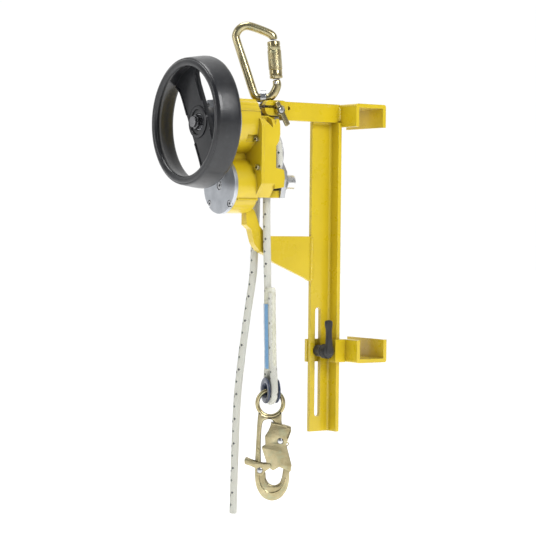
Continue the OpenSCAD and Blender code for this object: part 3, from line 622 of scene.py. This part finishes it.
# ---------------------------------------------------------------- rope
ROPE_R = 4.8
TAIL = [(-135, 21.9, -122), (-135.2, 22, -140), (-137, 22, -176), (-139, 22, -215), (-147, 22, -264),
        (-155.6, 22, -322), (-161.4, 22, -374), (-164, 22, -437), (-165.6, 22, -500), (-166, 22, -515)]
OVER = [(-135, 21.9, -122), (-135, 23, -112), (-135, 32, -100), (-135, 42.4, -88), (-135, 46.9, -76),
        (-135, 48, -63.75), (-135, 43, -45), (-135, 29.2, -31.3), (-135, 10.5, -26.25), (-135, -8.2, -31.3),
        (-135, -22, -45), (-135, -27, -63.75), (-135, -25.9, -76), (-135, -21.4, -88), (-135, -11, -100),
        (-135, -2, -112), (-135, -0.9, -122)]
LEAD = [(-135, -0.9, -122), (-134.6, -0.9, -150), (-133.4, -1, -190), (-131.4, 0, -228)]
thimble = Vector((-128, -3.5, -359.5))
turn = math.radians(-14)
LOOP = [tuple(thimble + 13.5 * Vector((-math.sin(turn) * math.cos(a), math.cos(turn) * math.cos(a),
        -math.sin(a))))
        for a in [math.radians(k) for k in range(0, 181, 20)]]
EYE = ([(-131.4, 0, -228), (-130, 1.2, -262), (-128.8, 1.4, -300), (-128.2, 2.6, -330)] + LOOP
       + [(-128.4, -10.8, -338), (-128.8, -8.9, -318), (-129.4, -8.7, -290), (-130.4, -8.9, -262),
       (-131.2, -9.2, -236)])


def rope_piece(name, points, start, caps=True):
    path, along = resample(catmull(np.array(points) * MM, 8), 0.0014)
    ob = sweep(name, path, round_section(ROPE_R * MM, 32), M["rope_textile"], None, along + start, caps)
    return ob, path, float(along[-1])


tail, tail_path, tail_len = rope_piece("rope_tail", TAIL, 0.0)
over, _, over_len = rope_piece("rope_on_sheave", OVER, 0.9, False)
lead, lead_path, lead_len = rope_piece("rope_lead", LEAD, 1.5, False)
eye, _, eye_len = rope_piece("rope_eye", EYE, 1.5 + lead_len)
for ob in (tail, over, lead, eye):
    place(ob, "bracket", "rope_textile", "rope")

print("rope lengths", round(tail_len, 4), round(over_len, 4), round(lead_len, 4), round(eye_len, 4))

# ---------------------------------------------------------------- handwheel
WHEEL = Vector((-253, 10.5, -25))
WEB_DEPTH, WEB_THICK, WEB_RIB_DEPTH = 25.5, 7, 21.9
LEAN_DEG = 28
rim = lathe("wheel_rim", [
    (67.0, 6.4), (67.2, 4.2), (68.2, 1.9), (70.2, 0.5), (72.6, 0.1), (74.6, 0.5), (75.9, 1.5), (76.5, 2.5),
    (77.0, 2.3), (77.9, 3.0), (78.5, 4.8), (79.0, 8.0), (80.1, 15.0), (81.2, 22.0), (81.8, 27.0),
    (81.9, 29.6), (81.3, 31.6), (79.8, 32.8), (77.6, 33.0), (75.4, 32.6), (73.9, 31.2), (73.2, 28.6),
    (72.4, 21.0), (71.2, 12.5),
    (69.6, 9.4), (67.8, 8.2)],
    WHEEL, (1, 0, 0), M["wheel_plastic"], 160)
lean = math.radians(LEAN_DEG)
web_m = Matrix(((0, 0, 1, 0), (math.cos(lean), math.sin(lean), 0, 0),
        (-math.sin(lean), math.cos(lean), 0, 0), (0, 0, 0, 1)))
half = [(20, -22), (20, -44), (21.5, -56), (27, -66), (25, -67.5), (12, -71.2), (0, -72.2), (-12, -71.2),
        (-25, -67.5), (-27, -66),
        (-21.5, -56), (-20, -44), (-20, -22)]
outline = rounded(half + [(-x, -y) for x, y in half], 5, 4)
web = plate("wheel_webs", [outline, circle(0, 0, 10.4, 48)[::-1]], WEB_THICK, 1.3,
            Matrix.Translation(v3(WHEEL.x + WEB_DEPTH, WHEEL.y, WHEEL.z)) @ web_m, M["wheel_plastic"])
ribs = []
for sx in (-1, 1):
    for sy in (-1, 1):
        pts = [(sx * 18.2, sy * 20.5), (sx * 18.2, sy * 44), (sx * 19.6, sy * 56), (sx * 24.2, sy * 65)]
        on_web = Matrix.Translation(v3(WHEEL.x + WEB_RIB_DEPTH, WHEEL.y, WHEEL.z)) @ web_m
        path = np.array([list(on_web @ v3(x, y, 0)) for x, y in pts])
        ribs.append(sweep("rib", resample(catmull(path, 8), 0.002)[0], round_section(0.0013, 12),
                M["wheel_plastic"]))
hub = lathe("wheel_hub", [(10.1, 24.0), (13.6, 24.0), (14.6, 23.4), (15.0, 21.0), (15.8, 20.1),
                          (18.6, 20.0), (19.8, 20.6), (20.4, 22.0), (20.4, 30.0), (19.4, 31.5),
                          (19.4, 44.5), (18.6, 46.6), (17.2, 47.0),
                          (10.1, 47.0)],
            WHEEL, (1, 0, 0), M["wheel_plastic"], 96)
hub_cup = lathe("hub_cup", [(6.4, 25.2), (10.05, 25.2), (10.05, 24.2), (7.4, 24.0), (6.4, 24.4)], WHEEL,
    (1, 0, 0), M["dark_steel"], 64)
solid = [smooth_by_angle(rim, 40), web, smooth_by_angle(hub, 35)]
wheel = join("handwheel_moulding", solid + ribs + [hub_cup])
place(wheel, "wheel_rotor", "wheel_plastic", "handwheel")

# ---------------------------------------------------------------- carabiner
clip_turn = math.radians(-34.7)
CLIP_FOOT = v3(-134, 10.5, 9)
CLIP_BAR_R = 5.35
CLIP = Matrix.Translation(CLIP_FOOT) @ Matrix.Rotation(clip_turn, 4, "Z")
body_pts = [(16.4, 22.4), (17.2, 15.5), (13.6, 6.6), (9, 1.4), (4.5, 0), (-4.5, 0), (-9, 1.6), (-12, 6),
            (-19.4, 28.2), (-26.8, 50.3), (-34.2, 72.5), (-35, 79), (-31.8, 85.5), (-26, 89.6),
            (-18, 90.2), (-2, 85), (7.4, 80.9),
            (11.4, 77.4), (12.2, 74.2)]
path = resample(catmull(np.array([list(CLIP @ v3(x, 0, z)) for x, z in body_pts]), 10), 0.0012)[0]


def clip_size(t, ang):
    end = min(1.0, min(t, 1 - t) / 0.03)
    k = 0.90 + 0.10 * math.sin(end * math.pi / 2)
    flat = 1.0 - 0.06 * math.exp(-((t - 0.62) / 0.10) ** 2)
    bar = CLIP_BAR_R * MM * k * np.ones_like(ang)
    return bar, bar * flat


clip = sweep("clip_bar", path, {"sides": 40, "size": clip_size}, M["gold_zinc"], (0.5693, 0.8221, 0))
d_axis = Vector((0.5693, 0.8221, 0))


def rivet(name, centre, axis, length, r, mat, head=1.0):
    """Domed pin through both faces, length between the heads, all in mm."""
    h = length / 2
    prof = [(0.02, -h - head), (r * 0.5, -h - head * 0.88), (r * 0.85, -h - head * 0.5), (r, -h),
            (r * 0.72, -h + 0.15), (r * 0.72, h - 0.15),
            (r, h), (r * 0.85, h + head * 0.5), (r * 0.5, h + head * 0.88), (0.02, h + head)]
    return lathe(name, prof, centre, axis, mat, 40, closed=False)


pin_at = (CLIP @ v3(15.7, 0, 19.2)) / MM
clip_pin = rivet("clip_pin", pin_at, d_axis, 10.2, 2.1, M["plain_steel"], 0.7)
clip_ob = join("carabiner_forging", [clip, clip_pin])
place(clip_ob, "carabiner", "gold_zinc", "carabiner_body")

gate_axis = (CLIP.to_3x3() @ Vector((-0.0837, 0, 0.9965))).normalized()
gate_mid = (CLIP @ v3(14.2, 0, 48)) / MM
rows = [(4.8, -23.5), (6.9, -23.5), (7.9, -23.1), (8.2, -22.4), (8.2, -19.6), (7.7, -19.2), (7.7, -18.6),
    (8.2, -18.2), (8.2, -13.4), (7.8, -12.8)]
rows += [(8.45, -12.2 + 24.4 * k / 64) for k in range(65)]
rows += [(7.8, 12.8), (8.2, 13.4), (8.2, 17.0), (7.6, 17.4), (7.6, 18.2), (8.2, 18.6), (8.2, 22.4),
    (7.9, 23.1), (6.9, 23.5), (4.8, 23.5)]


def knurl(i, h, a):
    if i < 11 or i > 73:
        return 0.0
    u = 26 * a / (2 * math.pi)
    v = h * 26 / (2 * math.pi * 8.45)
    p, q = (u + v) % 1.0, (u - v) % 1.0
    return 0.26 - 0.52 * max(abs(p - 0.5), abs(q - 0.5))


sleeve = lathe("gate_barrel", rows, gate_mid, gate_axis, M["gold_zinc"], 208, knurl)
place(smooth_by_angle(sleeve, 42), "clip_sleeve", "gold_zinc", "gate_sleeve")

# ---------------------------------------------------------------- snap hook
RING_R, RING_TUBE_R = 16.3, 2.75
GATE_PIN, LOCK_PIN = (13, -47), (-12.5, -84)
HOOK = (Matrix.Translation(v3(*thimble)) @ Matrix.Rotation(clip_turn, 4, "Z")
        @ Matrix.Translation(v3(0, 0, -RING_R)))
UP = Matrix.Rotation(math.radians(90), 4, "X")


def hook_plate(name, loops, n0, n1, bevel, mat=None, res=3):
    m = HOOK @ Matrix.Translation(v3(0, (n0 + n1) / 2, 0)) @ UP
    return plate(name, loops, n1 - n0, bevel, m, mat or M["gold_plate"], res)


def loop_spline(points, steps=6):
    p = [np.array((x, y, 0.0)) for x, y in points]
    n = len(p)
    out = []
    for i in range(n):
        a, b, c, d = p[i - 1], p[i], p[(i + 1) % n], p[(i + 2) % n]
        for k in range(steps):
            t = k / steps
            q = 0.5 * (2 * b + (c - a) * t + (2 * a - 5 * b + 4 * c - d) * t * t
                       + (3 * b - a - 3 * c + d) * t ** 3)
            out.append((float(q[0]), float(q[1])))
    return out


frame_outline = loop_spline([
    (-14.2, -10.5), (-16.0, -22), (-17.2, -45), (-18.2, -66), (-18.6, -85), (-18.0, -98), (-15.2, -108.8),
    (-8.0, -119), (3, -123), (13.6, -119.6), (21.2, -110), (24.4, -99), (25.0, -88), (24.9, -79.5),
    (22.4, -75.6), (18.8, -77), (16.8, -84.5), (15.4, -93), (12.4, -100.4), (6, -103.4), (-0.4, -101.2),
    (-4.4, -95), (-5.2, -88), (-8.2, -84), (-10.6, -78), (-11.4, -60), (-11.2, -40), (-9.6, -25),
    (-5, -20.6), (2.4, -21), (5.6, -28), (6.6, -40), (8, -50), (12, -54), (17, -51.5), (18.4, -44),
    (17.6, -35),
    (14.6, -24), (14.0, -10.5), (9.6, -13.6), (4.6, -16.2), (0, -16.9), (-4.6, -16.2), (-9.6, -13.6)])
body = hook_plate("hook_forging", [frame_outline], -3.6, 3.6, 2.3, res=4)
ring = lathe("hook_ring", circle(RING_R, 0, RING_TUBE_R, 20),
             (HOOK @ Vector((0, 0, 0))) / MM, d_axis, M["gold_zinc"], 120)
pins = []
for x, z, length, rr in ((*GATE_PIN, 14.8, 3.6), (*LOCK_PIN, 16.6, 3.7)):
    pins.append(rivet("pin", (HOOK @ v3(x, 0, z)) / MM, d_axis, length - 1.2, rr, M["plain_steel"], 0.9))
tip_ring = lathe("tip_ring", circle(2.3, 0, 0.7, 12),
                 (HOOK @ v3(21.0, -4.8, -50.8)) / MM, d_axis, M["gold_zinc"], 40)
contour = []
for n in (-3.2, 3.2):
    line = [(-14.6, -56), (-14.6, -74), (-14.2, -92), (-11, -104.5), (-4, -111.6), (4, -113),
        (12.6, -109.6), (18.4, -101), (19.8, -94)]
    run = np.array([list(HOOK @ v3(x, n, z)) for x, z in line])
    contour.append(sweep("contour", resample(catmull(run, 8), 0.0012)[0], round_section(0.0011, 14),
            M["gold_zinc"]))
hook_ob = join("snap_hook_forging", [body, ring] + pins + [tip_ring] + contour)
place(hook_ob, "snap_hook", "gold_zinc", "snap_hook_body", "gate_pin", "lock_pin")

gate_shape = rounded([(1.6, -23.4), (26.0, -29.2), (26.4, -35), (22.8, -44.8), (20.6, -52), (23.4, -62),
                      (27.6, -78), (26.4, -86.2), (22, -84.4), (12, -79.6), (4, -84.6), (-2.6, -79),
                      (-6.8, -66), (-10.4, -55.4), (-5.6, -52.6),
                      (-6.4, -42), (-2.0, -35), (0.4, -29)], 2.2, 4)
gate_hole = circle(*GATE_PIN, 3.0, 32)[::-1]
gate_parts = [hook_plate("gate_side", [gate_shape, gate_hole], n, n + 1.6, 0.45) for n in (-5.7, 4.1)]
cap_outline = [(20.2, -27.4), (26.3, -29.2), (26.6, -34.4), (22.9, -44.9), (20.6, -44.2), (24.0, -34.6),
    (23.6, -31.2), (20.0, -30.0)]
gate_parts.append(hook_plate("gate_cap", [rounded(cap_outline, 0.9, 3)], -5.7, 5.7, 0.5))
fold_outline = [(1.4, -23.2), (20.4, -27.4), (20.2, -29.2), (1.0, -25.0)]
gate_parts.append(hook_plate("gate_fold", [rounded(fold_outline, 0.5, 3)], -5.7, 5.7, 0.35))
latch_outline = [(18.2, -60), (20.4, -60.6), (25.2, -80), (24.4, -84.6), (21.8, -83.2), (22.6, -79)]
gate_parts.append(hook_plate("gate_latch", [rounded(latch_outline, 0.8, 3)], -4.0, 4.0, 0.4))
gate_ob = join("snap_gate_plates", gate_parts)
place(gate_ob, "snap_gate", "gold_zinc", "hook_gate")

lever_shape = rounded([(-17.4, -89.6), (-9, -91), (-5.4, -85), (1.6, -80.4), (1, -75.4), (-9, -75.6),
                       (-23, -71.6), (-30, -68.4), (-32, -71.5),
                       (-31.6, -76.4), (-24, -78.6), (-18, -81.5)], 1.8, 4)
lock_hole = circle(*LOCK_PIN, 3.0, 32)[::-1]
lock_parts = [hook_plate("lock_side", [lever_shape, lock_hole], n, n + 1.4, 0.4) for n in (-7.5, 6.1)]
tab = [(-25.4, -71.4), (-30.4, -68.8), (-32, -71.5), (-31.5, -76.3), (-25.4, -77.6), (-26.4, -75.8),
    (-29.6, -75.2), (-29.9, -71.6), (-26.6, -72.4)]
lock_parts.append(hook_plate("lock_tab", [rounded(tab, 0.8, 3)], -6.3, 6.3, 0.5))
lock_parts.append(lathe("lock_roll", [(0.02, -6.4), (2.4, -6.4), (2.9, -5.8), (2.9, 5.8), (2.4, 6.4),
                        (0.02, 6.4)],
                        (HOOK @ v3(-28.8, 0, -73.2)) / MM, d_axis, M["gold_zinc"], 40, closed=False))
lock_ob = join("snap_lock_plates", lock_parts)
place(lock_ob, "snap_lock", "gold_zinc", "lock_lever")

# ---------------------------------------------------------------- thimble and splice cover
groove = [(13.5 - 5.2 * math.cos(a), 5.2 * math.sin(a)) for a in [math.radians(k) for k in range(-62, 63,
            8)]]
prof = [(7.8, -4.2), (8.65, -5.6), (9.45, -6.9), (10.1, -7.8), (10.8, -8.0), (15.2, -8.0), (16.3, -7.6),
       (16.6, -6.8), (16.2, -6.0), (14.4, -5.4)] + \
       [(r, h) for r, h in groove if r < 13.6] + [(14.4, 5.4), (16.2, 6.0), (16.6, 6.8), (16.3, 7.6),
       (15.2, 8.0), (10.8, 8.0), (10.1, 7.8), (9.45, 6.9), (8.65, 5.6), (7.8, 4.2)]
thim = lathe("thimble_moulding", prof, thimble, (math.cos(turn), math.sin(turn), 0), M["navy_plastic"], 96)
place(smooth_by_angle(thim, 50), "bracket", "navy_plastic", "thimble_body")

COVER = np.array([(-131.1, -4.4, -229.5), (-130.2, -3.8, -262), (-129, -3.7, -300),
        (-128.4, -3.9, -334)]) * MM
cover_path = resample(catmull(COVER, 12), 0.0016)[0]


def cover_size(t, ang):
    ends = 1 - 0.10 * math.exp(-t / 0.018) - 0.10 * math.exp(-(1 - t) / 0.02)
    crease = 1 + 0.018 * np.sin(3 * ang + 31 * t) * math.sin(57 * t) + 0.012 * np.sin(5 * ang - 90 * t)
    waist = 1 - 0.10 * np.abs(np.sin(ang)) ** 6
    return 10.5 * MM * ends * crease, 5.75 * MM * ends * crease * waist


cover = sweep("splice_cover", cover_path, {"sides": 64, "size": cover_size}, M["clear_cover"], (0, 1, 0),
    caps=False)
place(cover, "bracket", "clear_cover", "splice_sleeve")


def on_cover(t, ang, lift):
    i = t * (len(cover_path) - 1)
    k = int(min(i, len(cover_path) - 2))
    f = i - k
    tan, us, ws = cover_frames
    c = cover_path[k] * (1 - f) + cover_path[k + 1] * f
    ru, rw = cover_size(t, np.array([ang]))
    return (c + us[k] * (float(ru[0]) + lift * MM) * math.cos(ang)
            + ws[k] * (float(rw[0]) + lift * MM) * math.sin(ang))


cover_frames = frames(cover_path, (0, 1, 0))
verts, faces = [], []
rows_n, cols_n = 150, 11
STITCH_FROM, STITCH_SHARE, STITCHES = 0.20, 0.78, 118
for i in range(rows_n):
    t = STITCH_FROM + STITCH_SHARE * i / (rows_n - 1)
    wave = 0.05 * math.sin(i * 0.33)
    for j in range(cols_n):
        a = math.radians(-106 + 84 * j / (cols_n - 1)) + wave * j / cols_n
        dome = math.sin(math.pi * j / (cols_n - 1)) ** 0.5
        stitch = 0.10 * math.sin(i * math.pi / 2.0)
        verts.append(on_cover(t, a, 0.10 + 0.55 * dome + stitch * dome))
for i in range(rows_n - 1):
    for j in range(cols_n - 1):
        q = i * cols_n + j
        faces.append((q, q + 1, q + cols_n + 1, q + cols_n))
band = mesh_object("stitch_band", verts, faces, M["blue_band"])
threads = []
for base, spread in ((-24, 8.0), (-62, 7.0)):
    zig = np.array([
        on_cover(STITCH_FROM + STITCH_SHARE * k / STITCHES,
        math.radians(base + (spread if k % 2 else -spread)), 0.55)
        for k in range(STITCHES + 1)])
    threads.append(sweep("thread", resample(catmull(zig, 3), 0.0007)[0], round_section(0.00036, 8),
            M["white_thread"]))
band_ob = join("splice_stitching", [band] + threads)
place(band_ob, "bracket", "clear_cover")

# ---------------------------------------------------------------- levers
RELEASE_X, RELEASE_Z = -126, -7
CLAMP_X, CLAMP_Z = -46.8, -312
SIDEWAYS = Matrix.Rotation(math.radians(90), 4, "X")
rel = plate("release_bar", [rounded([(-3.3, 12), (3.3, 12), (3.5, -22), (-3.5, -22)], [3, 3, 1.6, 1.6], 5)],
            3.0, 0.7,
            Matrix.Translation(v3(RELEASE_X, -16.5,
            RELEASE_Z)) @ SIDEWAYS @ Matrix.Rotation(math.radians(31), 4, "Z"), M["gold_zinc"])
rel_hub = lathe("release_hub", [(4.05, -6.9), (5.4, -6.9), (6.0, -6.4), (6.0, -0.6), (5.4, 0.1), (4.6, 0.1),
                (4.05, -0.4)],
                (RELEASE_X, -18.5, RELEASE_Z), (0, -1, 0), M["gold_zinc"], 64)
rel_dome = rivet("release_dome", (RELEASE_X, -16.6, RELEASE_Z), (0, 1, 0), 3.6, 3.9, M["plain_steel"], 0.7)
rel_ob = join("release_lever_bar", [rel, smooth_by_angle(rel_hub), rel_dome])
place(rel_ob, "release", "gold_zinc", "release_lever")

grip_outline = loop_spline([(-5.4, -2), (-4.8, 8), (-3.7, 20), (-3.8, 28), (-5.0, 34), (-4.6, 38.6),
                            (-2.2, 40.0), (2.2, 40.0), (4.8, 38.8), (5.4, 35),
                            (4.3, 28), (4.1, 20), (5.0, 8), (5.4, -2), (0, -5.0)], 5)
grip = plate("grip", [grip_outline], 6.0, 2.3,
             Matrix.Translation(v3(CLAMP_X, -17.0, CLAMP_Z)) @ SIDEWAYS @ Matrix.Rotation(math.radians(2),
             4, "Z"), M["black_lever"], 4)
boss = lathe("boss", [(4.2, 14.4), (6.6, 14.4), (8.0, 13.6), (8.8, 11.6), (9.0, 8.0), (8.8, 3.0),
             (8.2, 0.6), (7.4, 0.0), (7.4, -10.6), (4.2, -10.6)],
             (CLAMP_X, -3.0, CLAMP_Z), (0, -1, 0), M["black_lever"], 72)
ridges = []
for k in range(5):
    ridges.append(lathe("ridge", [(9.02, 3.2 + 2.0 * k), (9.28, 3.6 + 2.0 * k), (9.28, 4.4 + 2.0 * k),
                        (9.02, 4.8 + 2.0 * k)],
                        (CLAMP_X, -3.0, CLAMP_Z), (0, -1, 0), M["black_lever"], 72))
lever_ob = join("clamp_lever_moulding", [grip, smooth_by_angle(boss, 40)] + ridges)
place(lever_ob, "clamp_handle", "black_lever", "clamp_lever")

# ---------------------------------------------------------------- weld beads
def bead(name, a, b, inward, size):
    """Rippled fillet bead along a line in the corner that inward points out of, in mm."""
    a, b, inward = Vector(a), Vector(b), Vector(inward).normalized()
    n = max(20, int((b - a).length / 0.28))
    tan = (b - a).normalized()
    u = inward
    w = tan.cross(u)
    verts, faces, sides = [], [], 14
    for i in range(n + 1):
        s = (b - a).length * i / n
        ends = min(1.0, 0.35 + min(s, (b - a).length - s) / 2.2)
        ripple = 1 + 0.10 * abs(math.sin(math.pi * s / 2.1)) + 0.05 * math.sin(s * 1.7 + 0.6)
        for j in range(sides):
            ang = 2 * math.pi * j / sides
            rr = size * ends * ripple * (1.0 if math.cos(ang) > -0.2 else 0.75)
            lag = 0.5 * math.cos(ang)
            across = u * rr * math.cos(ang) * 0.82 + w * rr * math.sin(ang) * 1.1
            verts.append((a + tan * (s - lag) + across) * MM)
    for i in range(n):
        for j in range(sides):
            j2 = (j + 1) % sides
            faces.append((i * sides + j, i * sides + j2, (i + 1) * sides + j2, (i + 1) * sides + j))
    faces.append(tuple(range(sides)))
    faces.append(tuple(range(n * sides, n * sides + sides)))
    return mesh_object(name, verts, faces, M["bracket_paint"])


beads = [bead("b0", (-58.4, 8.0, -222), (-58.4, 8.0, -166), (-1, -1, 0), 2.3),
         bead("b1", (-58.0, 8.0, -18.6), (-30.4, 8.0, -18.6), (0, -1, -1), 2.6),
         bead("b2", (-24.0, -3.3, -17.0), (-24.0, -3.3, 2.0), (-1, -1, 0), 2.4),
         bead("b3", (-110.4, -3.3, -6.0), (-110.4, -3.3, -2.4), (1, -1, 0), 1.8)]
welds = join("weld_beads", beads)
place(welds, "bracket", "bracket_paint", "bracket_welds")

# ---------------------------------------------------------------- floor and light
def area(name, loc, target, size, power, colour=(1, 1, 1)):
    la = bpy.data.lights.new(name, "AREA")
    la.shape = "RECTANGLE"
    la.size, la.size_y = size
    la.energy = power
    la.color = colour
    ob = bpy.data.objects.new(name, la)
    ob.location = loc
    ob.rotation_euler = (Vector(target) - Vector(loc)).to_track_quat("-Z", "Y").to_euler()
    scene.collection.objects.link(ob)
    return ob


# Bright behind the object and darker around the viewer, so that plated metal reads.
world = bpy.data.worlds.new("studio")
scene.world = world
world.use_nodes = True
wt = world.node_tree
bg = wt.nodes["Background"]
wc = wt.nodes.new("ShaderNodeTexCoord")
wd = wt.nodes.new("ShaderNodeVectorMath")
wd.operation = "DOT_PRODUCT"
wd.inputs[1].default_value = tuple(look)
wt.links.new(wc.outputs["Generated"], wd.inputs[0])
wr = wt.nodes.new("ShaderNodeValToRGB")
wr.color_ramp.elements[0].position = 0.36
wr.color_ramp.elements[0].color = (0.17, 0.175, 0.185, 1)
wr.color_ramp.elements[1].position = 0.86
wr.color_ramp.elements[1].color = (1.02, 1.02, 1.02, 1)
wm = wt.nodes.new("ShaderNodeMapRange")
wm.inputs["From Min"].default_value = -1
wm.inputs["From Max"].default_value = 1
wt.links.new(wd.outputs["Value"], wm.inputs["Value"])
wt.links.new(wm.outputs[0], wr.inputs[0])
wt.links.new(wr.outputs[0], bg.inputs[0])
bg.inputs[1].default_value = 1.0

bpy.ops.mesh.primitive_grid_add(x_subdivisions=2, y_subdivisions=2, size=30, location=(0, 0, -0.66))
floor = bpy.context.object
floor.name = "floor"
ft = Tree("floor_white")
ft.link(ft.ramp(ft.noise(2, 2), [(0.3, (0.90, 0.90, 0.90)), (0.7, (0.94, 0.94, 0.94))]), "Base Color")
ft.bsdf.inputs["Emission Color"].default_value = (1, 1, 1, 1)
ft.bsdf.inputs["Emission Strength"].default_value = 0.62
ft.set(rough=0.9, spec=0.1)
floor.data.materials.append(ft.mat)

mid = Vector((-0.12, 0.0, -0.15))
back = -look
area("key", mid + side * 0.9 + back * 1.2 + Vector((0, 0, 1.0)), mid, (0.55, 0.8), 20)
area("fill", mid + side * -1.5 + back * 0.7 + Vector((0, 0, 0.5)), mid, (0.3, 1.2), 6)
area("top", mid + side * -0.3 + Vector((0, 0, 1.5)), mid, (0.9, 0.7), 12)
